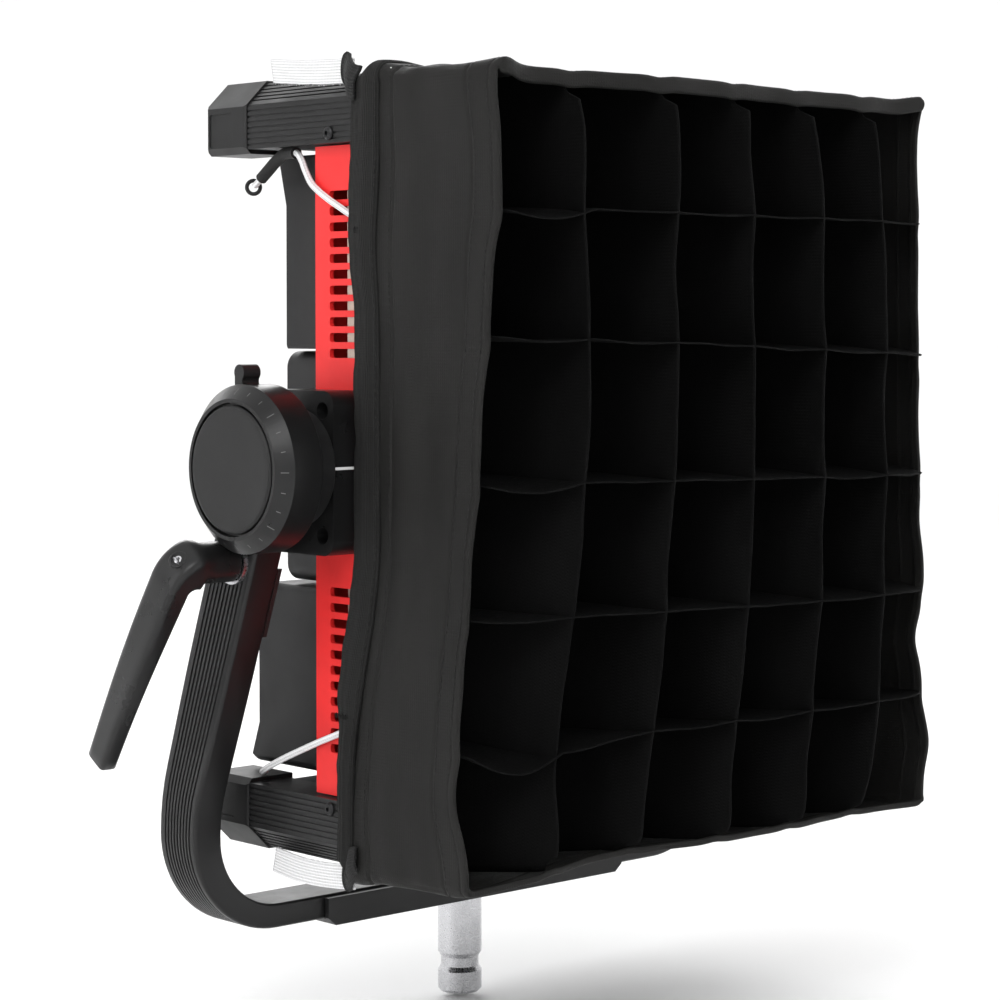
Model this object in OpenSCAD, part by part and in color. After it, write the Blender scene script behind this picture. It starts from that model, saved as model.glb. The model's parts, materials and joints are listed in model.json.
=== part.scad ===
// LED soft panel with a fabric softbox and egg-crate grid, on its tilting yoke.
// Millimetres. +Z up, the light shines towards -Y, +X is to the right seen from the front.
// Origin: the shoulder of the stand pin, on the pin's axis. The yoke stands on that shoulder.

/* [Lamp head] */
// Width over the side rails
lamp_w = 380; // [376:1:384]
// Height over the top and bottom rails
lamp_h = 458; // [452:1:462]
// Depth from the head's zero plane to the lamp's front face
lamp_y = 78; // [76:1:80]
// Depth from the head's zero plane to the back of the red chassis
chassis_y = 149; // [149:1:151]
// Depth from the head's zero plane to the back of the corner caps
cage_y = 245; // [244:1:248]

/* [Side vents] */
// Slots in each group
slot_count = 11; // [9:1:11]
// Distance from one slot to the next
slot_pitch = 9.1; // [8.6:0.1:9.2]
// Height of one slot
slot_h = 5.3; // [4:0.1:5.6]

/* [Softbox and grid] */
// Width over the fabric sleeve
box_w = 388; // [388:1:390]
// Height over the fabric sleeve
box_h = 464; // [464:1:466]
// Distance of the sleeve's front rim ahead of the head's zero plane
rim_front = 10; // [8:1:10]
// Thickness of the sleeve's fabric, with its lining
cloth_t = 1.5; // [1:0.1:1.5]
// Cells across the grid
cells_x = 6; // [5:1:7]
// Cells up the grid
cells_z = 6; // [5:1:7]
// Depth of the grid's strips
strip_y = 80; // [70:1:80]

/* [Yoke] */
// Width over the two arms
yoke_w = 452; // [450:1:456]
// Height of the tilt axis above the pin's shoulder
axis_z = 289; // [288:1:294]
// Distance of the tilt axis in front of the pin's axis
axis_y = 93; // [91:1:95]
// Outer radius of the hubs
hub_r = 48; // [46:1:48]
// Thickness of the arms
arm_t = 20; // [18:1:20]
// Depth of the arms, front to back
arm_d = 40; // [36:1:42]

/* [Stand pin] */
// Radius of the stand pin, a 28.6 mm junior pin
pin_r = 14.25; // [14.2:0.05:14.3]
// Radius of the socket inside it, for a 16 mm stud
socket_r = 8.05; // [8:0.05:8.1]

/* [Clamp lever] */
// Length of the lever from its spindle to its tip
lever_l = 144; // [110:1:148]

/* [Hidden] */
$fn = 64;

hub_y = 137;                 // tilt axis behind the head's zero plane
lamp_dz = -3.5;              // middle of the lamp, hung a little below the tilt axis
zero_y = -axis_y - hub_y;    // the head's zero plane
gap = 0.3;                   // clearance between neighbours that only meet
lamp_x = lamp_w / 2;
lamp_z = lamp_h / 2;
box_x = box_w / 2;
box_z = box_h / 2;
arm_x = yoke_w / 2;          // outer face of an arm
arm_in = arm_x - arm_t;      // inner face of an arm
black = [0.13, 0.13, 0.13];
graphite = [0.2, 0.2, 0.2];
red = [0.9, 0.16, 0.14];
steel = [0.75, 0.75, 0.77];
white = [0.95, 0.95, 0.95];
beige = [0.68, 0.6, 0.52];

// ---- shared shapes -------------------------------------------------------

// Head parts are drawn from a zero plane just behind the softbox's rim: Y back, Z from the tilt axis.
module head_frame() translate([0, zero_y, axis_z]) children();

module lamp_frame() translate([0, zero_y, axis_z + lamp_dz]) children();

module along_y(y0, y1) translate([0, y1, 0]) rotate([90, 0, 0]) linear_extrude(y1 - y0) children();

module along_x(x0, x1) translate([x0, 0, 0]) rotate([90, 0, 90]) linear_extrude(x1 - x0) children();

module rod_x(x0, x1, y, z, r) translate([x0, y, z]) rotate([0, 90, 0]) cylinder(r = r, h = x1 - x0);

module rod_y(y0, y1, x, z, r) translate([x, y1, z]) rotate([90, 0, 0]) cylinder(r = r, h = y1 - y0);

module block(x0, x1, y0, y1, z0, z1) translate([x0, y0, z0]) cube([x1 - x0, y1 - y0, z1 - z0]);

module round_rect(w, h, r) {
  square([w - 2 * r, h], center = true);
  square([w, h - 2 * r], center = true);
  for (x = [-1, 1], y = [-1, 1]) translate([x * (w / 2 - r), y * (h / 2 - r)]) circle(r);
}

module frame_rect(w, h, r, t) {
  difference() {
    round_rect(w, h, r);
    round_rect(w - 2 * t, h - 2 * t, max(r - t, 0.5));
  }
}

// Left is -X. Shapes are drawn on the right and mirrored.
module on_side(s) mirror([s < 0 ? 1 : 0, 0, 0]) children();

module both_sides() {
  children();
  mirror([1, 0, 0]) children();
}

module four_corners() {
  for (s = [-1, 1], t = [-1, 1])
    mirror([s < 0 ? 1 : 0, 0, 0]) mirror([0, 0, t < 0 ? 1 : 0]) children();
}

function unit(v) = v / norm(v);

// Direction of travel at point i of a path
function heading(p, i) = unit(p[min(i + 1, len(p) - 1)] - p[max(i - 1, 0)]);

function side_of(d) = unit(cross(d, abs(d[2]) > 0.9 ? [1, 0, 0] : [0, 0, 1]));

// A round tube of n sides along a path of points
module tube(p, r, n = 8) {
  m = len(p);
  rings = [for (i = [0 : m - 1]) let (d = heading(p, i), a = side_of(d), b = cross(d, a))
           for (k = [0 : n - 1]) p[i] + r * (cos(360 * k / n) * a + sin(360 * k / n) * b)];
  walls = [for (i = [0 : m - 2], k = [0 : n - 1], half = [0, 1])
           let (a = i * n + k, b = i * n + (k + 1) % n)
           half == 0 ? [a, b, b + n] : [a, b + n, a + n]];
  ends = [[for (k = [n - 1 : -1 : 0]) k], [for (k = [0 : n - 1]) (m - 1) * n + k]];
  polyhedron(points = rings, faces = concat(walls, ends));
}

// ---- yoke ----------------------------------------------------------------

bar_z = 4;                   // underside of the cross bar
bar_t = 15;                  // its thickness
bar_d = 36;                  // its depth
bend_r = 62;                 // outer radius of the yoke's bends
bend_in = 44;                // inner radius of the bends
lean = 19.9;                 // how far the arms lean forward of upright
lean_z = 66;                 // height where the arms start to lean
lean_r = 100;                // radius of that bend
spindle_y = 172 + zero_y;     // clamp lever's spindle, behind and below the hub
spindle_z = axis_z - 55;
spindle_r = 5;
shaft_r = 8;
run = 0.05;                  // running clearance on the radius
disc_r = 34;                 // boss of the arm around the tilt axis
neck_z = axis_z - 46;        // top of the leaning part of an arm

// Middle of an arm seen from the side, a quarter bend and then a straight lean
function arm_mid(a) = [-lean_r * (1 - cos(a)), lean_z + lean_r * sin(a)];

function arm_side(w) = [for (a = [0 : lean / 5 : lean]) arm_mid(a) + w * [cos(a), sin(a)]];

function lean_at(z) = arm_mid(lean)[0] - (z - arm_mid(lean)[1]) * tan(lean);

module arm_profile() {
  w = arm_d / 2;
  polygon(concat([[bar_d / 2, -1]], arm_side(bar_d / 2), [[lean_at(neck_z) + w + 2, neck_z]],
                 [[lean_at(neck_z) - w, neck_z]], [for (i = [5 : -1 : 0]) arm_side(-bar_d / 2)[i]],
                 [[-bar_d / 2, -1]]));
  translate([-axis_y, axis_z]) circle(disc_r);
  polygon([[lean_at(neck_z) - w, neck_z], [lean_at(neck_z) + w + 2, neck_z],
           [-axis_y + disc_r, axis_z], [-axis_y - disc_r, axis_z]]);
}

module yoke_outline() {
  top = axis_z + hub_r;
  difference() {
    union() {
      translate([-arm_x, bar_z + bend_r]) square([2 * arm_x, top]);
      translate([-arm_x + bend_r, bar_z]) square([2 * (arm_x - bend_r), bend_r + 1]);
      for (s = [-1, 1]) translate([s * (arm_x - bend_r), bar_z + bend_r]) circle(bend_r);
    }
    translate([-arm_in, bar_z + bar_t + bend_in]) square([2 * arm_in, top]);
    translate([-arm_in + bend_in, bar_z + bar_t]) square([2 * (arm_in - bend_in), bend_in + 1]);
    for (s = [-1, 1]) translate([s * (arm_in - bend_in), bar_z + bar_t + bend_in]) circle(bend_in);
  }
}

stem_r = 9;                  // stem of the pin through the base
base_bolt_x = [-105, -55, 55, 105];

module yoke_bar() color(graphite) difference() {
  intersection() {
    along_y(-axis_y - disc_r - 1, 60) yoke_outline();
    along_x(-arm_x - 1, arm_x + 1) arm_profile();
  }
  rod_x(-arm_x - 1, arm_x + 1, -axis_y, axis_z, bush_r + run);
  rod_x(-arm_x - 1, -arm_in + 1, spindle_y, spindle_z, spindle_r + run);
  translate([0, 0, bar_z - 1]) cylinder(r = stem_r + run, h = bar_t + 2);
  for (x = base_bolt_x) translate([x, 0, bar_z - 1]) cylinder(r = 2.5, h = 11);
}

base_x = 127.5;                // half the length of the base block
base_d = 22;                 // half its depth
base_z = 17.4;               // its height

module base_block() color(black) difference() {
  along_y(-base_d, base_d) polygon([[-base_x, base_z], [-base_x, bar_z + 1], [-base_x + 6, 0],
                                    [base_x - 6, 0], [base_x, bar_z + 1], [base_x, base_z]]);
  block(-base_x - 1, base_x + 1, -bar_d / 2 - gap, bar_d / 2 + gap, bar_z - 0.01, base_z + 1);
  translate([0, 0, -1]) cylinder(r = stem_r + run, h = bar_z + 2);
  for (x = base_bolt_x) {
    translate([x, 0, -1]) cylinder(r = 2.7, h = bar_z + 2);
    translate([x, 0, -1]) cylinder(r = 4.6, h = 3.6);
  }
}

module base_screws() color(steel) for (x = base_bolt_x) translate([x, 0, 0]) difference() {
  union() {
    translate([0, 0, 0.2]) cylinder(r = 4.4, h = 2.3);
    translate([0, 0, 0.2]) cylinder(r = 2.45, h = 13);
  }
  cylinder(r = 1.5, h = 1.6, $fn = 6);
}

pin_l = 64;                  // length of the stand pin under its shoulder
pin_plain = 38;              // straight part below the shoulder
pin_neck = 50;               // end of the safety groove
socket_l = 45;               // depth of the socket

module stand_pin() color(steel) difference() {
  rotate_extrude() polygon([[0, -pin_l], [pin_r - 2, -pin_l], [pin_r, -pin_l + 2], [pin_r, -pin_neck],
                            [pin_r - 2, -pin_neck + 3], [pin_r - 2, -pin_plain - 3],
                            [pin_r, -pin_plain], [pin_r, -0.02], [stem_r, -0.02],
                            [stem_r, bar_z + bar_t + 9], [0, bar_z + bar_t + 9]]);
  translate([0, 0, -pin_l - 1]) cylinder(r = socket_r, h = socket_l + 1);
}

module pin_nut() color(steel) translate([0, 0, bar_z + bar_t + 0.02]) difference() {
  union() {
    cylinder(r = 16, h = 1.6);
    translate([0, 0, 1.6]) cylinder(r = 13.5, h = 6, $fn = 6);
  }
  translate([0, 0, -1]) cylinder(r = stem_r + run, h = 10);
}

// The head slides clear of these inner wear strips, which stay outside the blocks' sweep.
module arm_strips() color(black) both_sides() intersection() {
  along_x(arm_in - 3, arm_in - 0.02) translate([0, -2]) arm_profile();
  block(arm_in - 4, arm_in, -90, 40, neck_z - 55, neck_z - 14);
}

// ---- tilt hubs -----------------------------------------------------------

hub_t = 28.5;                // how far a hub stands out of its arm
hub_in = arm_x + 0.1;        // inner face of a hub
hub_out = hub_in + hub_t;
hub_bevel = 8;
cavity_r = 33;
bush_r = 11;
cap_r = 36.4;
latch_x = hub_in + 11;       // middle of the latch tab

// A shape turned about the tilt axis, drawn as [radius, distance out along X]
module turned(p) translate([0, -axis_y, axis_z]) rotate([0, 90, 0]) rotate_extrude() polygon(p);

module hub_housing(s) color(graphite) difference() {
  on_side(s) turned([[shaft_r + 1, hub_in], [hub_r - 1, hub_in], [hub_r, hub_in + 1],
                     [hub_r, hub_out - hub_bevel], [hub_r - hub_bevel, hub_out],
                     [cap_r + 1.4, hub_out], [cap_r + 1.4, hub_out - 3.5],
                     [cavity_r, hub_out - 3.5], [cavity_r, hub_in + 4], [shaft_r + 1, hub_in + 4]]);
  if (s < 0) block(-latch_x - 6.4, -latch_x + 6.4, -axis_y + 0.6, -axis_y + 13.4, axis_z + 30, axis_z + 60);
  on_side(s) for (a = [90, 210, 330])
    rod_x(hub_in - 1, hub_in + 5, -axis_y + 24 * cos(a), axis_z + 24 * sin(a), 2.1);
}

module hub_cap(s) color(black) on_side(s) turned([[0, hub_out - 3.4], [cap_r, hub_out - 3.4],
  [cap_r, hub_out - 0.4], [cap_r - 1.4, hub_out + 1], [cap_r - 4, hub_out + 1.2], [0, hub_out + 1.2]]);

module pivot_bushes() color([0.72, 0.56, 0.3]) both_sides() turned([[shaft_r + run, arm_in],
  [bush_r, arm_in], [bush_r, arm_x - 0.1], [shaft_r + run, arm_x - 0.1]]);

module hub_screws() color(steel) both_sides() for (a = [90, 210, 330])
  translate([0, -axis_y + 24 * cos(a), axis_z + 24 * sin(a)]) {
    rod_x(hub_in + 0.3, hub_in + 4.05, 0, 0, 2);
    rod_x(hub_in + 4.05, hub_in + 6.2, 0, 0, 3.5);
  }

module tilt_latch() color(black) difference() {
  union() {
    block(-latch_x - 6, -latch_x + 6, -axis_y + 1, -axis_y + 13, axis_z + 36.5, axis_z + 45);
    block(-latch_x - 6, -latch_x + 6, -axis_y + 3.4, -axis_y + 11.6, axis_z + 44, axis_z + 55);
    rod_x(-latch_x - 6, -latch_x + 6, -axis_y + 7.5, axis_z + 54.5, 4.6);
  }
  rod_x(-latch_x - 7, -latch_x + 7, -axis_y + 1.2, axis_z + 49.6, 3.4);
}

// ---- clamp lever, on the left arm ----------------------------------------

barrel_in = arm_x + 3.6;     // inner end of the lever's barrel
barrel_r = 12;
lever_in = hub_out + 3.4;    // inner face of the lever
lever_out = lever_in + 13;
lever_angle = 32.3;          // how far the lever hangs behind straight down
lever_tip = lever_l - 8;
bore_r = 6.8;

module clamp_spindle() color(steel) translate([0, spindle_y, spindle_z]) mirror([1, 0, 0]) {
  difference() {
    union() {
      rod_x(arm_in + 2, lever_in - 4, 0, 0, spindle_r);
      rod_x(arm_x + 0.3, arm_x + 3, 0, 0, 13.6);
      rod_x(lever_in - 12, lever_in - 5, 0, 0, bore_r - 0.3);
      rod_x(lever_in - 4, lever_out - 3, 0, 0, 2.5);
      rod_x(lever_out - 5, lever_out - 2, 0, 0, 4.6);
    }
    rod_x(lever_out - 4, lever_out, 0, 0, 2.2, $fn = 6);
  }
}

module lever_outline() {
  translate([-8.2, -lever_tip]) square([16.4, 6]);
  translate([0, -lever_tip]) circle(8.2);
  polygon([[-13.5, 0], [13.5, 0], [8.2, -lever_tip], [-8.2, -lever_tip]]);
  circle(13.5);
}

module clamp_handle() color(graphite) translate([0, spindle_y, spindle_z]) mirror([1, 0, 0]) difference() {
  union() {
    rod_x(barrel_in, lever_in + 1, 0, 0, barrel_r);
    rotate([lever_angle, 0, 0]) along_x(lever_in, lever_out) lever_outline();
  }
  rod_x(barrel_in - 1, lever_in - 1, 0, 0, bore_r);
  rod_x(lever_in - 2, lever_out + 1, 0, 0, 2.9);
  rod_x(lever_in + 3.4, lever_out + 1, 0, 0, 6);
}

// ---- tilt shafts and mount blocks ----------------------------------------

block_out = arm_in - 1;      // outer face of a mount block
plate_in = lamp_x - 6;       // outer face of a red side plate
block_y = 60;
block_z = 94;
heel_x = 158.2;              // behind the chassis the block reaches in to the spine box
bolt_dy = 40;                // bolt pattern of a mount block
bolt_dz = 71;
mount_z = -3;                // middle of a mount block, below the tilt axis

module tilt_shafts() color(steel) both_sides() turned([[0, block_out - 4], [20, block_out - 4],
  [20, block_out - 0.2], [shaft_r, block_out - 0.2], [shaft_r, hub_out - 6], [0, hub_out - 6]]);

module friction_discs() color([0.45, 0.45, 0.47]) both_sides() turned([[shaft_r + 0.02, hub_in + 10],
  [30, hub_in + 10], [30, hub_in + 15], [shaft_r + 0.02, hub_in + 15]]);

module at_bolts() for (y = [-1, 1], z = [-1, 1])
  translate([0, -axis_y + y * bolt_dy / 2, axis_z + mount_z + z * bolt_dz / 2]) children();

module mount_block(s) color(graphite) on_side(s) difference() {
  union() {
    along_x(plate_in + 0.1, block_out) translate([-axis_y, axis_z + mount_z])
      round_rect(block_y, block_z, 9);
    block(heel_x, block_out - 6, zero_y + chassis_y + 1, -axis_y + block_y / 2, axis_z - 44, axis_z + 44);
  }
  rod_x(block_out - 4.1, block_out + 1, -axis_y, axis_z, 20.1);
  at_bolts() {
    rod_x(heel_x - 1, block_out + 1, 0, 0, 3.1);
    rod_x(plate_in + 8, block_out + 1, 0, 0, 5);
  }
}

// The front bolts hold the chassis and the longer rear ones hold the spine box.
module mount_bolt(x0, dy) translate([0, dy, 0]) difference() {
  union() {
    rod_x(x0, plate_in + 8.1, 0, 0, 3);
    rod_x(plate_in + 8.1, plate_in + 13, 0, 0, 4.7);
  }
  rod_x(plate_in + 10.5, plate_in + 14, 0, 0, 2.3, $fn = 6);
}

module mount_bolts() color(black) both_sides() for (z = [-1, 1])
  translate([0, -axis_y, axis_z + mount_z + z * bolt_dz / 2]) {
    mount_bolt(plate_in - plate_t, -bolt_dy / 2);
    mount_bolt(heel_x - 2.6, bolt_dy / 2);
  }

module index_marks() color(white) both_sides()
  block(plate_in + 1, block_out - 1, -axis_y - block_y / 2 - 0.5, -axis_y - block_y / 2 - 0.05,
        axis_z - 0.8, axis_z + 0.8);

// ---- chassis -------------------------------------------------------------

plate_t = 3;
rail_z = 40;                 // height of a rail
rail_w = 30;                 // width of a rail
rail_in = lamp_z - rail_z;   // inner face of the rails, seen from the side
front_y = lamp_y + 5;        // back of the front bezel
panel_z = rail_in - 1;
slot_y0 = 88;                // front and rear ends of the vent slots
slot_y1 = 136;
upper_slot_z = 65;           // middle of the lowest slot in the upper group
lower_slot_z = -73;          // middle of the highest slot in the lower group

function slot_zs() = concat([for (i = [0 : slot_count - 1]) upper_slot_z + i * slot_pitch],
                            [for (i = [0 : slot_count - 1]) lower_slot_z - i * slot_pitch]);

module chassis_side(s) color(red) head_frame() on_side(s) difference() {
  block(plate_in - plate_t, plate_in, front_y + 0.1, chassis_y, lamp_dz - panel_z, lamp_dz + panel_z);
  along_x(plate_in - plate_t - 1, plate_in + 1) for (z = slot_zs())
    translate([(slot_y0 + slot_y1) / 2, z]) round_rect(slot_y1 - slot_y0, slot_h, 1.8);
  for (z = [-1, 1])
    rod_x(plate_in - plate_t - 1, plate_in + 1, hub_y - bolt_dy / 2, mount_z + z * bolt_dz / 2, 3.1);
}

inner_x = plate_in - plate_t - 0.1;

module chassis_panels() color(black) lamp_frame() for (s = [-1, 1]) mirror([0, 0, s < 0 ? 1 : 0])
  difference() {
    block(-inner_x, inner_x, front_y + 0.1, cap_y - 1, rail_in + 1, rail_in + 3);
    both_sides() block(lamp_x - rail_w - 0.2, inner_x + 1, front_y, cap_y, rail_in, rail_in + 4);
  }

fan_x = 84;
fan_r = 42;

module chassis_back() color(red) head_frame() difference() {
  block(-inner_x, inner_x, chassis_y - 2, chassis_y, lamp_dz - panel_z, lamp_dz + panel_z);
  for (s = [-1, 1]) rod_y(chassis_y - 3, chassis_y + 1, s * fan_x, 0, fan_r - 2);
}

module front_bezel() color(black) lamp_frame() difference() {
  along_y(lamp_y, front_y) round_rect(lamp_w, lamp_h, 6);
  along_y(lamp_y - 1, front_y - 2) round_rect(lamp_w - 34, lamp_h - 34, 4);
  along_y(lamp_y - 1, front_y + 1) round_rect(lamp_w - 44, lamp_h - 44, 4);
}

module opal_diffuser() color(white) lamp_frame()
  along_y(front_y - 5 + 0.2, front_y - 2.1) round_rect(lamp_w - 36, lamp_h - 36, 3);

module mixing_chamber() color(white) lamp_frame() difference() {
  block(-inner_x + 0.2, inner_x - 0.2, front_y + 0.1, 103.9, -panel_z + 0.4, panel_z - 0.4);
  block(-inner_x + 8, inner_x - 8, front_y, 105, -panel_z + 8, panel_z - 8);
}

module led_board() color([0.85, 0.85, 0.8]) lamp_frame()
  block(-inner_x + 2, inner_x - 2, 104, 106, -panel_z + 2, panel_z - 2);

led_nx = 10;
led_nz = 12;

module led_chips() color([0.95, 0.85, 0.4]) lamp_frame()
  for (i = [0 : led_nx - 1], k = [0 : led_nz - 1])
    translate([(i - (led_nx - 1) / 2) * 32, 102.4, (k - (led_nz - 1) / 2) * 29])
      rotate([-90, 0, 0]) linear_extrude(1.5) square(5, center = true);

fins = 23;

module heat_sink() color(beige) lamp_frame() {
  block(-inner_x + 2, inner_x - 2, 106.1, 111, -panel_z + 2, panel_z - 2);
  for (i = [0 : fins]) translate([-inner_x + 2 + i * (2 * inner_x - 6) / fins, 110, -panel_z + 2])
    cube([2, 16, 2 * panel_z - 4]);
}

module fan_frames() color(black) head_frame() for (s = [-1, 1]) translate([s * fan_x, 0, 0]) {
  difference() {
    along_y(127, 146.8) round_rect(92, 92, 6);
    rod_y(126, 148, 0, 0, fan_r);
  }
  difference() {
    union() {
      rod_y(144, 146.8, 0, 0, 18);
      block(-fan_r - 1, fan_r + 1, 144, 146.8, -2.5, 2.5);
      block(-2.5, 2.5, 144, 146.8, -fan_r - 1, fan_r + 1);
    }
    rod_y(143, 148, 0, 0, 2.5 + run);
  }
}

module fan_rotor(s) color([0.18, 0.18, 0.2]) head_frame() translate([s * fan_x, 0, 0]) {
  rod_y(129, 143.6, 0, 0, 17);
  rod_y(143, 146.8, 0, 0, 2.5);
  for (i = [0 : 6]) rotate([0, i * 360 / 7, 0]) translate([15, 136.3, 0]) rotate([38, 0, 0])
    translate([0, -1, -8]) cube([fan_r - 17, 2, 16]);
}

// ---- boxes on the back ---------------------------------------------------

rear_y = chassis_y + 0.3;
ctrl_x = 160;
ctrl_y = 207;                // rear face of the control box
wall = 2.5;

module control_profile(in) polygon([[rear_y - in, 67 + in], [ctrl_y - in, 67 + in], [ctrl_y - in, 153],
  [213 - in, 177 - in], [208 - in, 182.5 - in], [rear_y - in, 182.5 - in]]);

module control_box() color(graphite) head_frame() difference() {
  intersection() {
    along_x(-ctrl_x, ctrl_x) control_profile(0);
    along_y(rear_y - 1, 230) translate([0, 125]) round_rect(2 * ctrl_x, 120, 5);
  }
  along_x(-ctrl_x + wall, ctrl_x - wall) control_profile(wall);
  along_y(ctrl_y - 1, ctrl_y + 1) translate([0, 128]) round_rect(124, 44, 3);
  for (s = [-1, 1]) rod_y(ctrl_y - 5, ctrl_y + 1, s * knob_x, 118, 3 + run);
  for (i = [-1 : 1]) rod_y(ctrl_y - 5, ctrl_y + 1, i * button_dx, button_z, 5.1);
}

module display() color([0.05, 0.06, 0.08]) head_frame()
  along_y(ctrl_y - 0.9, ctrl_y + 0.6) translate([0, 128]) round_rect(123, 43, 2.6);

knob_x = 108;
button_dx = 40;
button_z = 86;

module knob(s) color(black) head_frame() translate([s * knob_x, 0, 118]) {
  rod_y(ctrl_y - 4, ctrl_y + 2, 0, 0, 3);
  rod_y(ctrl_y + 1, ctrl_y + 14, 0, 0, 13);
  rod_y(ctrl_y + 14, ctrl_y + 16, 0, 0, 11.5);
}

module button(i) color(black) head_frame() translate([i * button_dx, 0, button_z]) {
  rod_y(ctrl_y - 6, ctrl_y + 2.5, 0, 0, 5);
  rod_y(ctrl_y - 7.5, ctrl_y - 4.6, 0, 0, 6.5);
}

module spine_box() color(graphite) head_frame() difference() {
  along_y(rear_y, 209) translate([0, -3.75]) round_rect(2 * ctrl_x - 4, 138.5, 10);
  along_y(rear_y - 1, 209 - wall) translate([0, -3.75]) round_rect(2 * ctrl_x - 9, 133.5, 8);
  for (i = [-4 : 4]) along_y(200, 210) translate([0, -3.75 + i * 12]) round_rect(180, 4, 1.9);
  for (z = [-1, 1]) rod_x(-ctrl_x, ctrl_x, hub_y + bolt_dy / 2, mount_z + z * bolt_dz / 2, 3.1);
}

power_y = 235;

module power_profile(in) polygon([[rear_y - in, -75.5 - in], [power_y - 8, -75.5 - in],
  [power_y - in, -80 - in], [power_y - in, -162], [242 - in, -182 + in], [238 - in, -186 + in],
  [rear_y - in, -186 + in]]);

rocker_x = 100;
inlet_x = -95;
socket_x = 20;
port_z = -120;

module power_box() color(graphite) head_frame() difference() {
  intersection() {
    along_x(-ctrl_x, ctrl_x) power_profile(0);
    along_y(rear_y - 1, 260) translate([0, -130.75]) round_rect(2 * ctrl_x, 111.5, 5);
  }
  along_x(-ctrl_x + wall, ctrl_x - wall) power_profile(wall);
  block(rocker_x - 8, rocker_x + 8, power_y - 4, power_y + 1, port_z - 13, port_z + 13);
  rod_y(power_y - 4, power_y + 1, inlet_x, port_z, 14.1);
  for (x = [-1, 1]) rod_y(power_y - 4, power_y + 1, socket_x + x * 17, port_z, 12.1);
}

module power_rocker() color([0.1, 0.1, 0.1]) head_frame() translate([rocker_x, power_y - 3, port_z])
  intersection() {
    along_x(-7.6, 7.6) polygon([[-8, -9], [-8, 9], [2.5, 12.1], [3.8, 12], [2.6, 0], [3.8, -12],
                               [2.5, -12.1]]);
    block(-8, 8, -6, 8, -12.5, 12.5);
  }

port_d = 8;                  // how deep a plug goes in

module port(x, r) translate([x, 0, port_z]) difference() {
  union() {
    rod_y(power_y - 22, power_y, 0, 0, r - 0.1);
    along_y(power_y + 0.05, power_y + 2) round_rect(2 * r + 5, 2 * r + 5, 3);
  }
  rod_y(power_y - port_d, power_y + 3, 0, 0, r - 2.4);
  for (a = [30 : 120 : 270])
    rod_y(power_y - 18, power_y, (r - 7) * cos(a), (r - 7) * sin(a), 1.3);
}

module power_inlet() color([0.15, 0.15, 0.2]) head_frame() port(inlet_x, 14);

module data_sockets() color(black) head_frame() for (x = [-1, 1]) port(socket_x + x * 17, 11.5);

// ---- rails, caps and grips -----------------------------------------------

cap_y = cage_y - 39;         // where the corner caps start
bevel_x = 15;                // chamfer along the outer edge of a rail
bevel_z = 14.5;
rib = 3.3;                   // distance between ribs

module rail_section() difference() {
  polygon([[lamp_x - rail_w, rail_in], [lamp_x, rail_in], [lamp_x, lamp_z - bevel_z],
           [lamp_x - bevel_x, lamp_z], [lamp_x - rail_w, lamp_z]]);
  for (i = [0 : 7]) translate([lamp_x - 0.7, rail_in + 2 + i * rib]) square([2, 1.2]);
  translate([lamp_x - bevel_x, lamp_z]) rotate(-atan2(bevel_z, bevel_x))
    for (i = [0 : 4]) translate([2 + i * rib, -0.7]) square([1.2, 2]);
  translate([lamp_x - rail_w + 4, rail_in + 4]) square([rail_w - 8, rail_z - 20]);
}

module rail(s, t) color(graphite) lamp_frame() on_side(s) mirror([0, 0, t < 0 ? 1 : 0]) difference() {
  along_y(front_y + 0.1, cap_y - 0.05) rail_section();
  rod_x(lamp_x - 8, lamp_x + 1, screw_y, screw_z, 2.1);
}

screw_y = 129;
screw_z = rail_in + 5.6;

module rail_screws() color(black) lamp_frame() four_corners() difference() {
  union() {
    rod_x(lamp_x - 7, lamp_x + 0.1, screw_y, screw_z, 2);
    translate([lamp_x + 0.05, screw_y, screw_z]) rotate([0, 90, 0]) rotate_extrude()
      polygon([[0, 0], [4, 0], [3.8, 1], [2.6, 2], [0, 2.2]]);
  }
  rod_x(lamp_x + 0.9, lamp_x + 3, screw_y, screw_z, 1.45, $fn = 6);
}

module corner_caps() color(black) lamp_frame() four_corners() difference() {
  x0 = lamp_x - rail_w - 3;
  x1 = lamp_x + 1.5;
  intersection() {
    along_y(cap_y, cage_y) polygon([[x0, rail_in - 2.5], [x1 - 4, rail_in - 2.5], [x1, rail_in + 1.5],
      [x1, lamp_z - bevel_z], [lamp_x - bevel_x, lamp_z + 1.5], [x0, lamp_z + 1.5]]);
    translate([0, 0, rail_in - 3]) linear_extrude(rail_z + 6) polygon([[x0, cap_y], [x1 - 1, cap_y],
      [x1, cap_y + 2], [x1, cage_y - 2], [x1 - 2, cage_y], [x0, cage_y]]);
  }
  along_x(x1 - 0.7, x1 + 1) translate([cage_y - 15, rail_in + 12]) round_rect(23, 20, 2);
}

module grip_bars() color(black) lamp_frame() for (s = [-1, 1])
  along_x(-(lamp_x - rail_w - 3.1), lamp_x - rail_w - 3.1)
    translate([cage_y - 14, s * (lamp_z - 17)]) round_rect(20, 24, 7);

// ---- softbox -------------------------------------------------------------

sleeve_y = lamp_y + 0.3;     // where the sleeve ends and the elastic band starts
band_y = 99;
pitch_x = (box_w - 2 * cloth_t - 1) / cells_x;
pitch_z = (box_h - 2 * cloth_t - 1) / cells_z;
strip_t = 1;
strip_y0 = 1.5 - rim_front;  // front edges of the strips

module softbox_sleeve() color(black) lamp_frame()
  along_y(-rim_front, sleeve_y) frame_rect(box_w, box_h, 8, cloth_t);

module elastic_band() color([0.1, 0.1, 0.1]) lamp_frame()
  along_y(sleeve_y + 0.1, band_y) frame_rect(box_w + 1, box_h + 1, 9, 2.4);

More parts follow.
